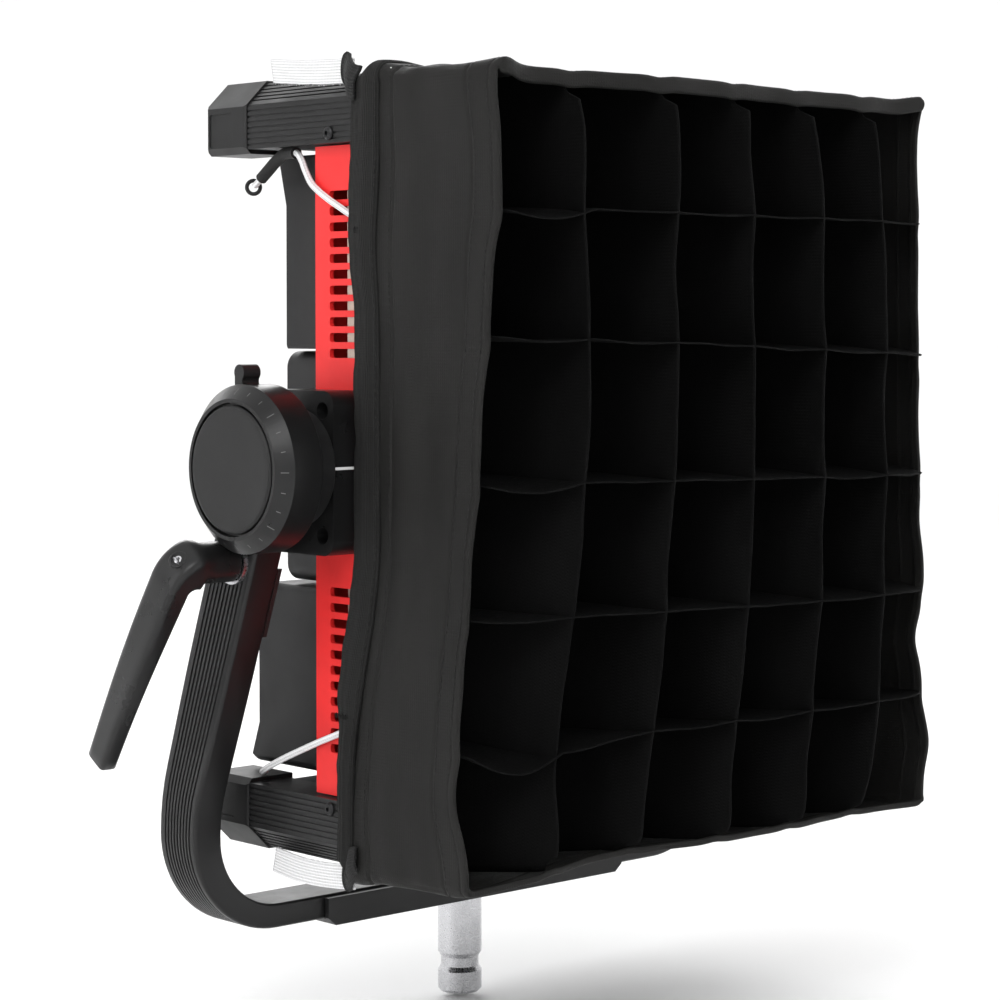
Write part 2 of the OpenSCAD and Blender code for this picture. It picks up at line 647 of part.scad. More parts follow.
module strip_slots(n, pitch, y0, y1) for (i = [1 : n - 1])
  translate([(i - n / 2) * pitch - strip_t / 2 - gap, y0]) square([strip_t + 2 * gap, y1 - y0]);

module grid_uprights() color([0.08, 0.08, 0.08]) lamp_frame() for (i = [1 : cells_x - 1])
  translate([(i - cells_x / 2) * pitch_x - strip_t / 2, 0, 0]) rotate([0, -90, 180])
    linear_extrude(strip_t) difference() {
      translate([-cells_z * pitch_z / 2, -strip_y0 - strip_y]) square([cells_z * pitch_z, strip_y]);
      mirror([0, 1]) strip_slots(cells_z, pitch_z, strip_y0 - 1, strip_y0 + strip_y / 2 + gap);
    }

module grid_crossers() color([0.08, 0.08, 0.08]) lamp_frame() for (i = [1 : cells_z - 1])
  translate([0, 0, (i - cells_z / 2) * pitch_z - strip_t / 2]) linear_extrude(strip_t) difference() {
    translate([-cells_x * pitch_x / 2, strip_y0]) square([cells_x * pitch_x, strip_y]);
    strip_slots(cells_x, pitch_x, strip_y0 + strip_y / 2 - gap, strip_y0 + strip_y + 1);
  }

module diffuser_cloth() color(white) lamp_frame()
  along_y(strip_y0 + strip_y + 0.5, strip_y0 + strip_y + 1.7)
    round_rect(cells_x * pitch_x, cells_z * pitch_z, 5);

// Elastic cords tie the softbox to the lamp. The upper ones leave the band, pass under their
// rails and end in a pull loop. The lower ones run back and turn in behind their rails.
cord_r = 2;
upper_cord = [[187, 100, 138], [187, 108, 142], [187, 116, 145.5], [187, 124, 149.3],
              [187, 132, 153], [187, 142, 158.5], [187, 149, 163.5], [186.5, 155, 171],
              [185.5, 160, 177.5], [183, 168, 181.9], [180, 182, 182.2], [178, 193, 178.6],
              [176.5, 203, 173.4], [175.5, 211, 169], [175, 218, 165]];
lower_cord = [[187, 100, -145], [187, 114, -150.5], [187, 129, -156], [187, 145, -162],
              [187, 160, -168], [186.5, 175, -174], [185.5, 188, -179.5], [183, 199, -184],
              [179, 207, -187], [173, 212, -187.5], [167, 208, -187.5], [164, 199, -187.5],
              [163.5, 188, -187.5]];

module bungee_cords() color(white) head_frame() both_sides() {
  tube(upper_cord, cord_r);
  tube(lower_cord, cord_r);
}

// Webbing tabs that pull the band over the corners stand on edge along the rails.
tab_x = 183;
tab_end = 190;
tab_w = 15;
tab_top = 221;               // lower edge of the upper tabs
tab_low = 229;               // upper edge of the lower tabs, below the axis

module pull_tabs() color(white) head_frame() both_sides() {
  block(tab_x, tab_x + 1.6, band_y + 0.2, tab_end, tab_top, tab_top + tab_w);
  block(tab_x, tab_x + 1.6, band_y + 0.2, tab_end, -tab_low - tab_w, -tab_low);
}

// ---- nodes ---------------------------------------------------------------

yoke_bar();
base_block();
base_screws();
stand_pin();
pin_nut();
hub_housing(-1);  // hub_housing_left
hub_housing(1);  // hub_housing_right
hub_cap(-1);  // hub_cap_left
hub_cap(1);  // hub_cap_right
arm_strips();
pivot_bushes();
hub_screws();
tilt_latch();
clamp_spindle();
clamp_handle();
tilt_shafts();
friction_discs();
mount_block(-1);  // mount_block_left
mount_block(1);  // mount_block_right
mount_bolts();
index_marks();
chassis_side(-1);  // chassis_left
chassis_side(1);  // chassis_right
chassis_panels();
chassis_back();
front_bezel();
opal_diffuser();
mixing_chamber();
led_board();
led_chips();
heat_sink();
fan_frames();
fan_rotor(-1);  // fan_rotor_left
fan_rotor(1);  // fan_rotor_right
control_box();
spine_box();
power_box();
display();
knob(-1);  // knob_left
knob(1);  // knob_right
button(-1);  // button_1
button(0);  // button_2
button(1);  // button_3
power_rocker();
power_inlet();
data_sockets();
rail(-1, 1);  // rail_top_left
rail(1, 1);  // rail_top_right
rail(-1, -1);  // rail_bottom_left
rail(1, -1);  // rail_bottom_right
corner_caps();
grip_bars();
rail_screws();
softbox_sleeve();
elastic_band();
grid_uprights();
grid_crossers();
diffuser_cloth();
bungee_cords();
pull_tabs();
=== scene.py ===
import json
import math
import random

import bmesh
import bpy
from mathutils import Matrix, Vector, noise


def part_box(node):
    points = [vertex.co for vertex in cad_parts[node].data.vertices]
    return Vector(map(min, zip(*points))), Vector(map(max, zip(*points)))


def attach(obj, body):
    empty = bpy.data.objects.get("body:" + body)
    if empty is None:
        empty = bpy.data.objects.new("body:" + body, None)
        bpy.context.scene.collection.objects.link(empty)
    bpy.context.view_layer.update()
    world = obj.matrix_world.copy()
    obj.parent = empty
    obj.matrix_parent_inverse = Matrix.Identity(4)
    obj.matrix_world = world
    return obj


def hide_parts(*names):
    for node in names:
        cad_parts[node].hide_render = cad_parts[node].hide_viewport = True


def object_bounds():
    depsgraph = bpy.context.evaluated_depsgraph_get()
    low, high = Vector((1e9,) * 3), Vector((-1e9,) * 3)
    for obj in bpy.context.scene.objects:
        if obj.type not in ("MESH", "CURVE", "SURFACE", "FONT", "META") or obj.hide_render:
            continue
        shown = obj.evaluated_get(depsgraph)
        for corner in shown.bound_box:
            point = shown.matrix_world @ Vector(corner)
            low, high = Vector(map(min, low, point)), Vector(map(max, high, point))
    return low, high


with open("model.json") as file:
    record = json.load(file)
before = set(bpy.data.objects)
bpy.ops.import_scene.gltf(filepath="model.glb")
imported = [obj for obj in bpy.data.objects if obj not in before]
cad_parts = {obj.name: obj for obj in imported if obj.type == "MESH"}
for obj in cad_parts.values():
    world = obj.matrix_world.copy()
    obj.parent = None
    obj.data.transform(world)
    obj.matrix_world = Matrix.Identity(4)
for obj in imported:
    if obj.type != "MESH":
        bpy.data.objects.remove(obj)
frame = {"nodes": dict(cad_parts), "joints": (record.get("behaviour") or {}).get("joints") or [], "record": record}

NODES = frame["nodes"]
MM = 0.001
CAD_LOW, CAD_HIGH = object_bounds()


# ---- places worked out from the frame --------------------------------------

JOINTS = {joint["name"]: joint for joint in frame["joints"]}
TILT = Vector(JOINTS["tilt"]["pos_m"])
SPINDLE = Vector(JOINTS["clamp_turn"]["pos_m"])
SLEEVE_LOW, SLEEVE_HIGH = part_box("softbox_sleeve")
YOKE_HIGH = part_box("yoke_bar")[1]
HUB_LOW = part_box("hub_housing_left")[0]
CELLS = 6                    # of the grid, each way
SLOT_OF = {part["node"]: part["material_slot"] for part in frame["record"]["subparts"]}


# ---- small maths ------------------------------------------------------------

def clamp01(t):
    return max(0.0, min(1.0, t))


def smooth(t):
    t = clamp01(t)
    return t * t * (3 - 2 * t)


def mix(a, b, t):
    return a + (b - a) * t


def bump(t, middle, width):
    """A bell of height 1 round middle."""
    return math.exp(-((t - middle) / width) ** 2)


def ripple(x, y, z, scale, seed=0.0):
    return noise.noise(Vector((x * scale + seed, y * scale - seed, z * scale + 2 * seed)))


# ---- meshes -------------------------------------------------------------------

def add_piece(name, verts, faces, material, body, shade=True, uvs=None):
    mesh = bpy.data.meshes.new(name)
    mesh.from_pydata([tuple(v) for v in verts], [], faces)
    mesh.validate()
    if shade:
        mesh.polygons.foreach_set("use_smooth", [True] * len(mesh.polygons))
    if uvs:
        layer = mesh.uv_layers.new(name="UVMap")
        for loop in mesh.loops:
            layer.data[loop.index].uv = uvs[loop.vertex_index]
    mesh.update()
    obj = bpy.data.objects.new(name, mesh)
    bpy.context.collection.objects.link(obj)
    obj.data.materials.append(material)
    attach(obj, body)
    return obj


def apply_modifier(obj, kind, **settings):
    """Adds a modifier, bakes it into the mesh and drops it."""
    modifier = obj.modifiers.new(kind.lower(), kind)
    for key, value in settings.items():
        setattr(modifier, key, value)
    graph = bpy.context.evaluated_depsgraph_get()
    mesh = bpy.data.meshes.new_from_object(obj.evaluated_get(graph))
    obj.modifiers.clear()
    old = obj.data
    obj.data = mesh
    bpy.data.meshes.remove(old)


def face_outwards(obj, weld=0.0):
    """Turns the faces of a closed piece outwards, after welding points nearer than weld."""
    bm = bmesh.new()
    bm.from_mesh(obj.data)
    if weld:
        bmesh.ops.remove_doubles(bm, verts=bm.verts, dist=weld)
    bmesh.ops.recalc_face_normals(bm, faces=bm.faces)
    bm.to_mesh(obj.data)
    bm.free()


def end_caps(count, sides):
    """The two end faces of a tube of count points."""
    return [tuple(range(sides - 1, -1, -1)), tuple(range(count - sides, count))]


def grid_faces(nu, nv, close_u=False, close_v=False, start=0):
    """Quads of a grid of nu by nv points, u running slowest."""
    faces = []
    for i in range(nu if close_u else nu - 1):
        for j in range(nv if close_v else nv - 1):
            a = i * nv + j
            b = ((i + 1) % nu) * nv + j
            k = (j + 1) % nv - j
            faces.append((start + a, start + b, start + b + k, start + a + k))
    return faces


def mark_sharp(obj, degrees=40):
    """Smooth shading, apart from edges that turn by more than this angle."""
    mesh = obj.data
    bm = bmesh.new()
    bm.from_mesh(mesh)
    limit = math.radians(degrees)
    for edge in bm.edges:
        edge.smooth = len(edge.link_faces) == 2 and edge.calc_face_angle(0) <= limit
    for face in bm.faces:
        face.smooth = True
    bm.to_mesh(mesh)
    bm.free()


def soften(node, material, width=0.6, segments=2, degrees=32, body=None):
    """A copy of a hard CAD node with its edges rounded, which stands for it."""
    source = NODES[node]
    obj = bpy.data.objects.new(node + "_finish", source.data.copy())
    bpy.context.collection.objects.link(obj)
    bm = bmesh.new()
    bm.from_mesh(obj.data)
    bmesh.ops.remove_doubles(bm, verts=bm.verts, dist=0.01 * MM)
    bmesh.ops.dissolve_limit(bm, angle_limit=math.radians(0.8), verts=bm.verts, edges=bm.edges)
    bm.to_mesh(obj.data)
    bm.free()
    obj.data.materials.clear()
    obj.data.materials.append(material)
    if "custom_normal" in obj.data.attributes:
        obj.data.attributes.remove(obj.data.attributes["custom_normal"])
    apply_modifier(obj, "BEVEL", width=width * MM, segments=segments, limit_method="ANGLE",
                   angle_limit=math.radians(degrees), harden_normals=False, miter_outer="MITER_ARC",
                   use_clamp_overlap=True)
    mark_sharp(obj, 46)
    apply_modifier(obj, "WEIGHTED_NORMAL", keep_sharp=True, weight=60)
    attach(obj, body or body_name(node))
    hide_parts(node)
    return obj


def body_name(node):
    bodies = frame["record"]["behaviour"]["bodies"]
    return next(name for name, members in bodies.items() if node in members)


def tube_points(path, radius, sides):
    """Rings of a tube round a path of points, each ring turned as little as possible."""
    rings = []
    side = None
    for i, p in enumerate(path):
        ahead = (path[min(i + 1, len(path) - 1)] - path[max(i - 1, 0)]).normalized()
        if side is None:
            side = ahead.orthogonal().normalized()
        side = (side - ahead * side.dot(ahead)).normalized()
        up = ahead.cross(side)
        for k in range(sides):
            a = 2 * math.pi * k / sides
            rings.append(p + radius * (math.cos(a) * side + math.sin(a) * up))
    return rings


def add_tube(name, path, radius, material, body, sides=12):
    verts = tube_points(path, radius, sides)
    faces = grid_faces(len(path), sides, close_v=True) + end_caps(len(verts), sides)
    return add_piece(name, verts, faces, material, body)


def curve_through(points, per_span=8):
    """A Catmull-Rom line through points."""
    out = []
    for i in range(len(points) - 1):
        p0 = points[max(i - 1, 0)]
        p1, p2 = points[i], points[i + 1]
        p3 = points[min(i + 2, len(points) - 1)]
        for k in range(per_span):
            t = k / per_span
            out.append(0.5 * ((2 * p1) + (p2 - p0) * t + (2 * p0 - 5 * p1 + 4 * p2 - p3) * t * t
                              + (3 * p1 - p0 - 3 * p2 + p3) * t ** 3))
    out.append(points[-1])
    return out


def in_metres(outline):
    return [(r * MM, h * MM) for r, h in outline]


def lathe(name, outline, centre, axis, material, body, steps=96, closed=False):
    """Turns an outline of (radius, distance along axis) about an axis through centre."""
    axis = axis.normalized()
    side = axis.orthogonal().normalized()
    up = axis.cross(side)
    verts = []
    for k in range(steps):
        a = 2 * math.pi * k / steps
        out = math.cos(a) * side + math.sin(a) * up
        verts.extend(centre + out * r + axis * h for r, h in outline)
    faces = grid_faces(steps, len(outline), close_u=True, close_v=closed)
    obj = add_piece(name, verts, faces, material, body)
    face_outwards(obj, weld=0.001 * MM)
    return obj


# ---- materials -------------------------------------------------------------

def start_material(name):
    material = bpy.data.materials.new(name)
    material.use_nodes = True
    tree = material.node_tree
    tree.nodes.clear()
    out = tree.nodes.new("ShaderNodeOutputMaterial")
    shader = tree.nodes.new("ShaderNodeBsdfPrincipled")
    tree.links.new(shader.outputs["BSDF"], out.inputs["Surface"])
    return material, tree, shader


def coords(tree, kind="Object", scale=(1, 1, 1)):
    source = tree.nodes.new("ShaderNodeTexCoord")
    mapping = tree.nodes.new("ShaderNodeMapping")
    mapping.inputs["Scale"].default_value = scale
    tree.links.new(source.outputs[kind], mapping.inputs["Vector"])
    return mapping.outputs["Vector"]


def noise_node(tree, vector, scale, detail=3.0, rough=0.55):
    node = tree.nodes.new("ShaderNodeTexNoise")
    node.inputs["Scale"].default_value = scale
    node.inputs["Detail"].default_value = detail
    node.inputs["Roughness"].default_value = rough
    tree.links.new(vector, node.inputs["Vector"])
    return node.outputs["Fac"]


def remap(tree, value, low, high, from_low=0.3, from_high=0.7):
    node = tree.nodes.new("ShaderNodeMapRange")
    node.inputs["From Min"].default_value = from_low
    node.inputs["From Max"].default_value = from_high
    node.inputs["To Min"].default_value = low
    node.inputs["To Max"].default_value = high
    tree.links.new(value, node.inputs["Value"])
    return node.outputs["Result"]


def colour_ramp(tree, value, *stops):
    node = tree.nodes.new("ShaderNodeValToRGB")
    ramp = node.color_ramp
    while len(ramp.elements) < len(stops):
        ramp.elements.new(0.5)
    for element, (place, colour) in zip(ramp.elements, stops):
        element.position = place
        element.color = (*colour, 1)
    tree.links.new(value, node.inputs["Fac"])
    return node.outputs["Color"]


def maths(tree, operation, a, b=None):
    node = tree.nodes.new("ShaderNodeMath")
    node.operation = operation
    for socket, value in zip(node.inputs, (a, b)):
        if value is None:
            continue
        if isinstance(value, (int, float)):
            socket.default_value = value
        else:
            tree.links.new(value, socket)
    return node.outputs["Value"]


def add_bump(tree, shader, *layers):
    """Stacks (height, strength, distance in metres) layers onto the shader's normal."""
    normal = None
    for height, strength, distance in layers:
        node = tree.nodes.new("ShaderNodeBump")
        node.inputs["Strength"].default_value = strength
        node.inputs["Distance"].default_value = distance
        tree.links.new(height, node.inputs["Height"])
        if normal is not None:
            tree.links.new(normal, node.inputs["Normal"])
        normal = node.outputs["Normal"]
    tree.links.new(normal, shader.inputs["Normal"])


def edge_wear(tree, low=0.52, high=0.6):
    """0 on flat surfaces, 1 on worn outer edges."""
    geometry = tree.nodes.new("ShaderNodeNewGeometry")
    return remap(tree, geometry.outputs["Pointiness"], 0.0, 1.0, low, high)


def blend_colours(tree, fac, a, b):
    node = tree.nodes.new("ShaderNodeMix")
    node.data_type = "RGBA"
    for socket, value in ((node.inputs[6], a), (node.inputs[7], b)):
        if isinstance(value, tuple):
            socket.default_value = (*value, 1)
        else:
            tree.links.new(value, socket)
    tree.links.new(fac, node.inputs[0])
    return node.outputs[2]


def coated(name, colour, rough=(0.34, 0.5), grain=1800, metallic=0.0, wear=0.35, depth=0.03):
    """Painted or anodised metal and moulded plastic: fine grain, faint blotches and edge wear."""
    material, tree, shader = start_material(name)
    place = coords(tree)
    blotch = noise_node(tree, place, 14, 4)
    fine = noise_node(tree, place, grain, 2)
    lighter = tuple(min(1, c * 1.22 + 0.003) for c in colour)
    darker = tuple(c * 0.84 for c in colour)
    base = colour_ramp(tree, blotch, (0.3, darker), (0.7, lighter))
    patches = maths(tree, "MULTIPLY", noise_node(tree, place, 160), wear)
    worn = maths(tree, "MULTIPLY", edge_wear(tree), patches)
    pale = tuple(min(1, c * 1.8 + 0.015) for c in colour)
    tree.links.new(blend_colours(tree, worn, base, pale), shader.inputs["Base Color"])
    tree.links.new(remap(tree, noise_node(tree, place, 45, 5), *rough), shader.inputs["Roughness"])
    shader.inputs["Metallic"].default_value = metallic
    shader.inputs["Specular IOR Level"].default_value = 0.3
    add_bump(tree, shader, (fine, 0.35, depth * MM), (blotch, 0.15, 0.2 * MM))
    return material


def brushed(name, colour, along=(1, 1, 1), rough=(0.2, 0.36)):
    """Bare metal with fine streaks."""
    material, tree, shader = start_material(name)
    streaks = noise_node(tree, coords(tree, scale=along), 900, 3)
    soft = noise_node(tree, coords(tree), 30)
    base = colour_ramp(tree, soft, (0.3, tuple(c * 0.86 for c in colour)), (0.7, colour))
    tree.links.new(base, shader.inputs["Base Color"])
    tree.links.new(remap(tree, streaks, *rough), shader.inputs["Roughness"])
    shader.inputs["Metallic"].default_value = 1.0
    add_bump(tree, shader, (streaks, 0.3, 0.02 * MM))
    return material


def weave_height(tree, place, threads_per_m):
    """The height of a plain weave whose threads follow all three axes."""
    scale = tree.nodes.new("ShaderNodeVectorMath")
    scale.operation = "SCALE"
    scale.inputs["Scale"].default_value = threads_per_m * math.pi
    tree.links.new(place, scale.inputs[0])
    wave = tree.nodes.new("ShaderNodeVectorMath")
    wave.operation = "SINE"
    tree.links.new(scale.outputs[0], wave.inputs[0])
    split = tree.nodes.new("ShaderNodeSeparateXYZ")
    tree.links.new(wave.outputs[0], split.inputs[0])
    x, y, z = (split.outputs[i] for i in range(3))
    total = maths(tree, "ADD", maths(tree, "MULTIPLY", x, y), maths(tree, "MULTIPLY", y, z))
    return maths(tree, "ADD", total, maths(tree, "MULTIPLY", z, x))


def cloth(name, colour, threads, rough, sheen, creases=1.2, specular=0.35):
    """Woven fabric: a plain weave, small creases, uneven dye and sheen."""
    material, tree, shader = start_material(name)
    place = coords(tree)
    weave = weave_height(tree, place, threads)
    wide = noise_node(tree, coords(tree, scale=(1, 1, 0.35)), 26, 5, 0.6)
    slub = noise_node(tree, place, 420, 3)
    darker = tuple(c * 0.72 for c in colour)
    lighter = tuple(min(1, c * 1.3 + 0.002) for c in colour)
    base = colour_ramp(tree, wide, (0.25, darker), (0.75, lighter))
    thread_tint = blend_colours(tree, remap(tree, weave, 0.0, 0.5, -1, 1), base, darker)
    tree.links.new(thread_tint, shader.inputs["Base Color"])
    tree.links.new(remap(tree, slub, *rough), shader.inputs["Roughness"])
    shader.inputs["Specular IOR Level"].default_value = specular
    shader.inputs["Sheen Weight"].default_value = sheen
    shader.inputs["Sheen Roughness"].default_value = 0.4
    shader.inputs["Sheen Tint"].default_value = (*[min(1, c * 4 + 0.3) for c in colour], 1)
    add_bump(tree, shader, (weave, 0.3, 0.12 * MM), (slub, 0.2, 0.1 * MM), (wide, 0.5, creases * MM))
    return material


def webbing(name, colour, ribs, depth, rough=(0.6, 0.8)):
    """Ribbed tape: ribs and fainter cross threads laid out by its own UVs."""
    material, tree, shader = start_material(name)
    split = tree.nodes.new("ShaderNodeSeparateXYZ")
    tree.links.new(coords(tree, "UV"), split.inputs[0])
    wave = maths(tree, "SINE", maths(tree, "MULTIPLY", split.outputs[1], ribs * 2 * math.pi))
    cross = maths(tree, "SINE", maths(tree, "MULTIPLY", split.outputs[0], ribs * 2 * math.pi))
    height = maths(tree, "ADD", wave, maths(tree, "MULTIPLY", cross, 0.35))
    # Painted shade: the colour follows the rib height and darkens in the low grooves between ribs and cross
    # threads.
    darker = tuple(c * 0.7 for c in colour)
    base = colour_ramp(tree, remap(tree, height, 0, 1, -1.3, 1.3), (0.1, darker), (0.8, colour))
    tree.links.new(base, shader.inputs["Base Color"])
    fuzz = noise_node(tree, coords(tree), 700, 3)
    tree.links.new(remap(tree, fuzz, *rough), shader.inputs["Roughness"])
    shader.inputs["Sheen Weight"].default_value = 0.03
    shader.inputs["Specular IOR Level"].default_value = 0.15
    add_bump(tree, shader, (height, 0.7, depth * MM), (fuzz, 0.3, 0.1 * MM))
    return material


def speckled(name, mottle, dark, light, gloss, grain):
    """A plain smooth surface. mottle is (scale, detail, low, high), grain is (scale, strength, mm)."""
    material, tree, shader = start_material(name)
    place = coords(tree)
    scale, detail, low, high = mottle
    base = colour_ramp(tree, noise_node(tree, place, scale, detail), (low, dark), (high, light))
    tree.links.new(base, shader.inputs["Base Color"])
    scale, detail, smoothest, roughest = gloss
    patches = noise_node(tree, place, scale, detail)
    tree.links.new(remap(tree, patches, smoothest, roughest), shader.inputs["Roughness"])
    scale, strength, depth = grain
    add_bump(tree, shader, (noise_node(tree, place, scale), strength, depth * MM))
    return material


def opal_material():
    material = speckled("opal_acrylic", (9, 2, 0.3, 0.7), (0.82, 0.82, 0.80), (0.88, 0.88, 0.86),
                        (300, 3, 0.32, 0.42), (1500, 0.2, 0.02))
    shader = material.node_tree.nodes["Principled BSDF"]
    shader.inputs["Subsurface Weight"].default_value = 0.2
    return material


def screen_material():
    material = speckled("screen_glass", (40, 3, 0.3, 0.8), (0.006, 0.007, 0.009), (0.012, 0.014, 0.018),
                        (60, 5, 0.05, 0.14), (500, 0.05, 0.01))
    shader = material.node_tree.nodes["Principled BSDF"]
    shader.inputs["Coat Weight"].default_value = 0.6
    return material


def phosphor_material():
    return speckled("led_phosphor", (900, 3, 0.3, 0.7), (0.85, 0.6, 0.1), (0.95, 0.78, 0.25),
                    (500, 3, 0.25, 0.4), (2500, 0.2, 0.02))


MATS = {
    "yoke_metal": coated("yoke_anodised", (0.010, 0.010, 0.0103), (0.30, 0.42), metallic=0.08, wear=0.5),
    "hub_metal": coated("hub_satin", (0.0062, 0.0062, 0.0064), (0.26, 0.38), wear=0.6),
    "black_plastic": coated("moulded_plastic", (0.010, 0.010, 0.0103), (0.36, 0.5), 2400,
                            wear=0.3, depth=0.05),
    "cap_plastic": coated("cap_plastic", (0.0065, 0.0065, 0.0067), (0.42, 0.52), 2600,
                          wear=0.2, depth=0.04),
    "control": coated("soft_black", (0.007, 0.007, 0.0073), (0.4, 0.55), 2200, wear=0.2),
    "red_paint": coated("red_powder", (0.74, 0.022, 0.022), (0.38, 0.5), 1300, wear=0.12, depth=0.06),
    "box_metal": coated("box_powder", (0.0075, 0.0075, 0.008), (0.42, 0.56), 1200,
                        wear=0.25, depth=0.06),
    "rail_metal": coated("rail_anodised", (0.0075, 0.0075, 0.0078), (0.34, 0.46), metallic=0.1),
    "black_steel": coated("black_oxide", (0.02, 0.02, 0.021), (0.25, 0.4), metallic=0.6, wear=0.8),
    "reflector": coated("white_reflector", (0.86, 0.86, 0.86), (0.4, 0.5), wear=0.0),
    "board": coated("white_board", (0.75, 0.75, 0.70), (0.35, 0.45), wear=0.0),
    "mark_white": coated("white_print", (0.75, 0.75, 0.75), (0.45, 0.6), wear=0.0),
    "tick_grey": coated("grey_print", (0.12, 0.12, 0.12), (0.45, 0.6), wear=0.0),
    "thread": coated("black_thread", (0.012, 0.012, 0.012), (0.6, 0.75), wear=0.0),
    "lever": coated("lever_satin", (0.010, 0.010, 0.0103), (0.24, 0.34), wear=0.5, depth=0.02),
    "steel": brushed("turned_steel", (0.62, 0.62, 0.64)),
    "bronze": brushed("bronze", (0.55, 0.38, 0.18)),
    "friction": brushed("friction_plate", (0.28, 0.28, 0.29), rough=(0.4, 0.6)),
    "sink": brushed("plain_aluminium", (0.60, 0.52, 0.45), along=(0.2, 1, 1), rough=(0.35, 0.5)),
    "opal": opal_material(),
    "screen": screen_material(),
    "phosphor": phosphor_material(),
    "softbox_fabric": cloth("coated_nylon", (0.0105, 0.0103, 0.0097), 1100, (0.5, 0.62), 0.03,
                            creases=0.5, specular=0.14),
    # The grid is black cloth, and its colour is darkened well below the sleeve's nylon as painted shade for the
    # deep cells.
    "grid_fabric": cloth("grid_weave", (0.0026, 0.0026, 0.0026), 1000, (0.7, 0.85), 0.0,
                         creases=0.5, specular=0.06),
    "white_cloth": cloth("diffusion_cloth", (0.80, 0.80, 0.78), 1200, (0.7, 0.85), 0.1),
    "elastic": webbing("ribbed_elastic", (0.0125, 0.0125, 0.012), 700, 0.15, (0.75, 0.9)),
    "white_webbing": webbing("white_tape", (0.86, 0.86, 0.87), 620, 0.3),
    "black_webbing": webbing("black_tape", (0.020, 0.020, 0.020), 620, 0.25),
    "white_cord": webbing("braided_cord", (0.84, 0.84, 0.85), 500, 0.2),
}


def dress_cad_nodes():
    """Gives every CAD node the detailed material of its slot."""
    for name, obj in NODES.items():
        material = MATS[SLOT_OF[name]]
        if obj.material_slots:
            for slot in obj.material_slots:
                slot.material = material
        else:
            obj.data.materials.append(material)


# ---- the softbox's shape --------------------------------------------------------
# Everything sewn into the softbox is placed by one map: across (-1 to 1), up (-1 to 1)
# and depth (0 at the front rim, 1 at the lamp). It is in the head's frame, in millimetres.

HEAD = Vector((0, TILT.y - 137 * MM, TILT.z))    # the head's zero plane, ahead of the tilt axis
LAMP_DZ = ((SLEEVE_LOW + SLEEVE_HIGH) / 2 - TILT).z / MM    # the lamp hangs a little below that axis
HALF_X = SLEEVE_HIGH.x / MM - 0.8                # to the middle of the sleeve's fabric
HALF_Z = (SLEEVE_HIGH.z - TILT.z) / MM - 0.8
BACK_Y = 72.0                                    # rear edge of the grid
SKIRT = 88.0                                     # depth of the sleeve ahead of its rear end


def at_head(x, y, z):
    return HEAD + Vector((x, y, z)) * MM


def head_piece(name, points, faces, material, **options):
    """A piece that rides on the head, from points in the head's frame."""
    return add_piece(name, [HEAD + p * MM for p in points], faces, MATS[material], "head", **options)


def between(stops, t):
    """Runs smoothly through (place, value) stops."""
    for (a, p), (b, q) in zip(stops, stops[1:]):
        if t <= b:
            return mix(p, q, smooth((t - a) / (b - a)))
    return stops[-1][1]


def bulge(u, v):
    """How far the slack front of the grid stands forward, 0 all round its rim."""
    return (1 + 0.2 * u) * max(0.0, 1 - u * u) ** 0.55 * max(0.0, 1 - v * v) ** 0.4


def front_y(u, v):
    """The near rim leans back towards its foot, and the grid's middle stands forward."""
    near = 3.2 - 25.3 * v + 14 * bump(v, 1, 0.12) - 20 * bump(v, -1, 0.14)
    far = 3 + 3.5 * v
    top = -10.5 * bump(u, -0.15, 0.4) - 4.5 * bump(u, 0.6, 0.3) + 3 * bump(u, -0.72, 0.12)
    foot = 8 * bump(u, -0.45, 0.26) + 5.5 * bump(u, 0.7, 0.2) - 2 * bump(u, 0.15, 0.25)
    y = mix(near, far, (u + 1) / 2) - 27 * bulge(u, v)
    y += top * smooth((v - 0.8) / 0.2) + foot * smooth((-v - 0.8) / 0.2)
    return y if y > -20 else -20 - 6 * (1 - math.exp((y + 20) / 6))


# How far each row of the grid hangs, and how much its far end hangs more, by height.
ROW_SAG = [(-1.0, 0.0), (-0.667, -1.0), (-0.333, -8.0), (0.0, -8.5),
           (0.333, -6.0), (0.667, -5.0), (1.0, -2.5)]
ROW_TILT = [(-1.0, 0.0), (-0.667, 0.0), (-0.333, -3.0), (0.0, -3.8),
            (0.333, -7.0), (0.667, 0.0), (1.0, 0.0)]


def front_point(u, v):
    z = 225 * v + between(ROW_SAG, v) + between(ROW_TILT, v) * u
    return Vector((190 * u + 5 * bulge(u, v), front_y(u, v), z))


def back_point(u, v, y=BACK_Y):
    return Vector((HALF_X * u, y, HALF_Z * v + LAMP_DZ))


def cloth_point(u, v, w, back_y=BACK_Y):
    """A point of the softbox. The sides belly out a little before they reach the rim."""
    a, b = front_point(u, v), back_point(u, v, back_y)
    p = a.lerp(b, w)
    ease = w ** 0.8
    p.x = mix(a.x, b.x, ease)
    p.z = mix(a.z, b.z, ease)
    return p


def band_front(x, z):
    """Front edge of the elastic band. It has slipped back at the near side's foot."""
    near = 80 + 24 * smooth((-z - 35) / 145) + 3 * bump(z, 130, 30)
    far = 80 + 4 * smooth(-z / 200)
    return mix(near, far, smooth((x + HALF_X) / (1.2 * HALF_X)))


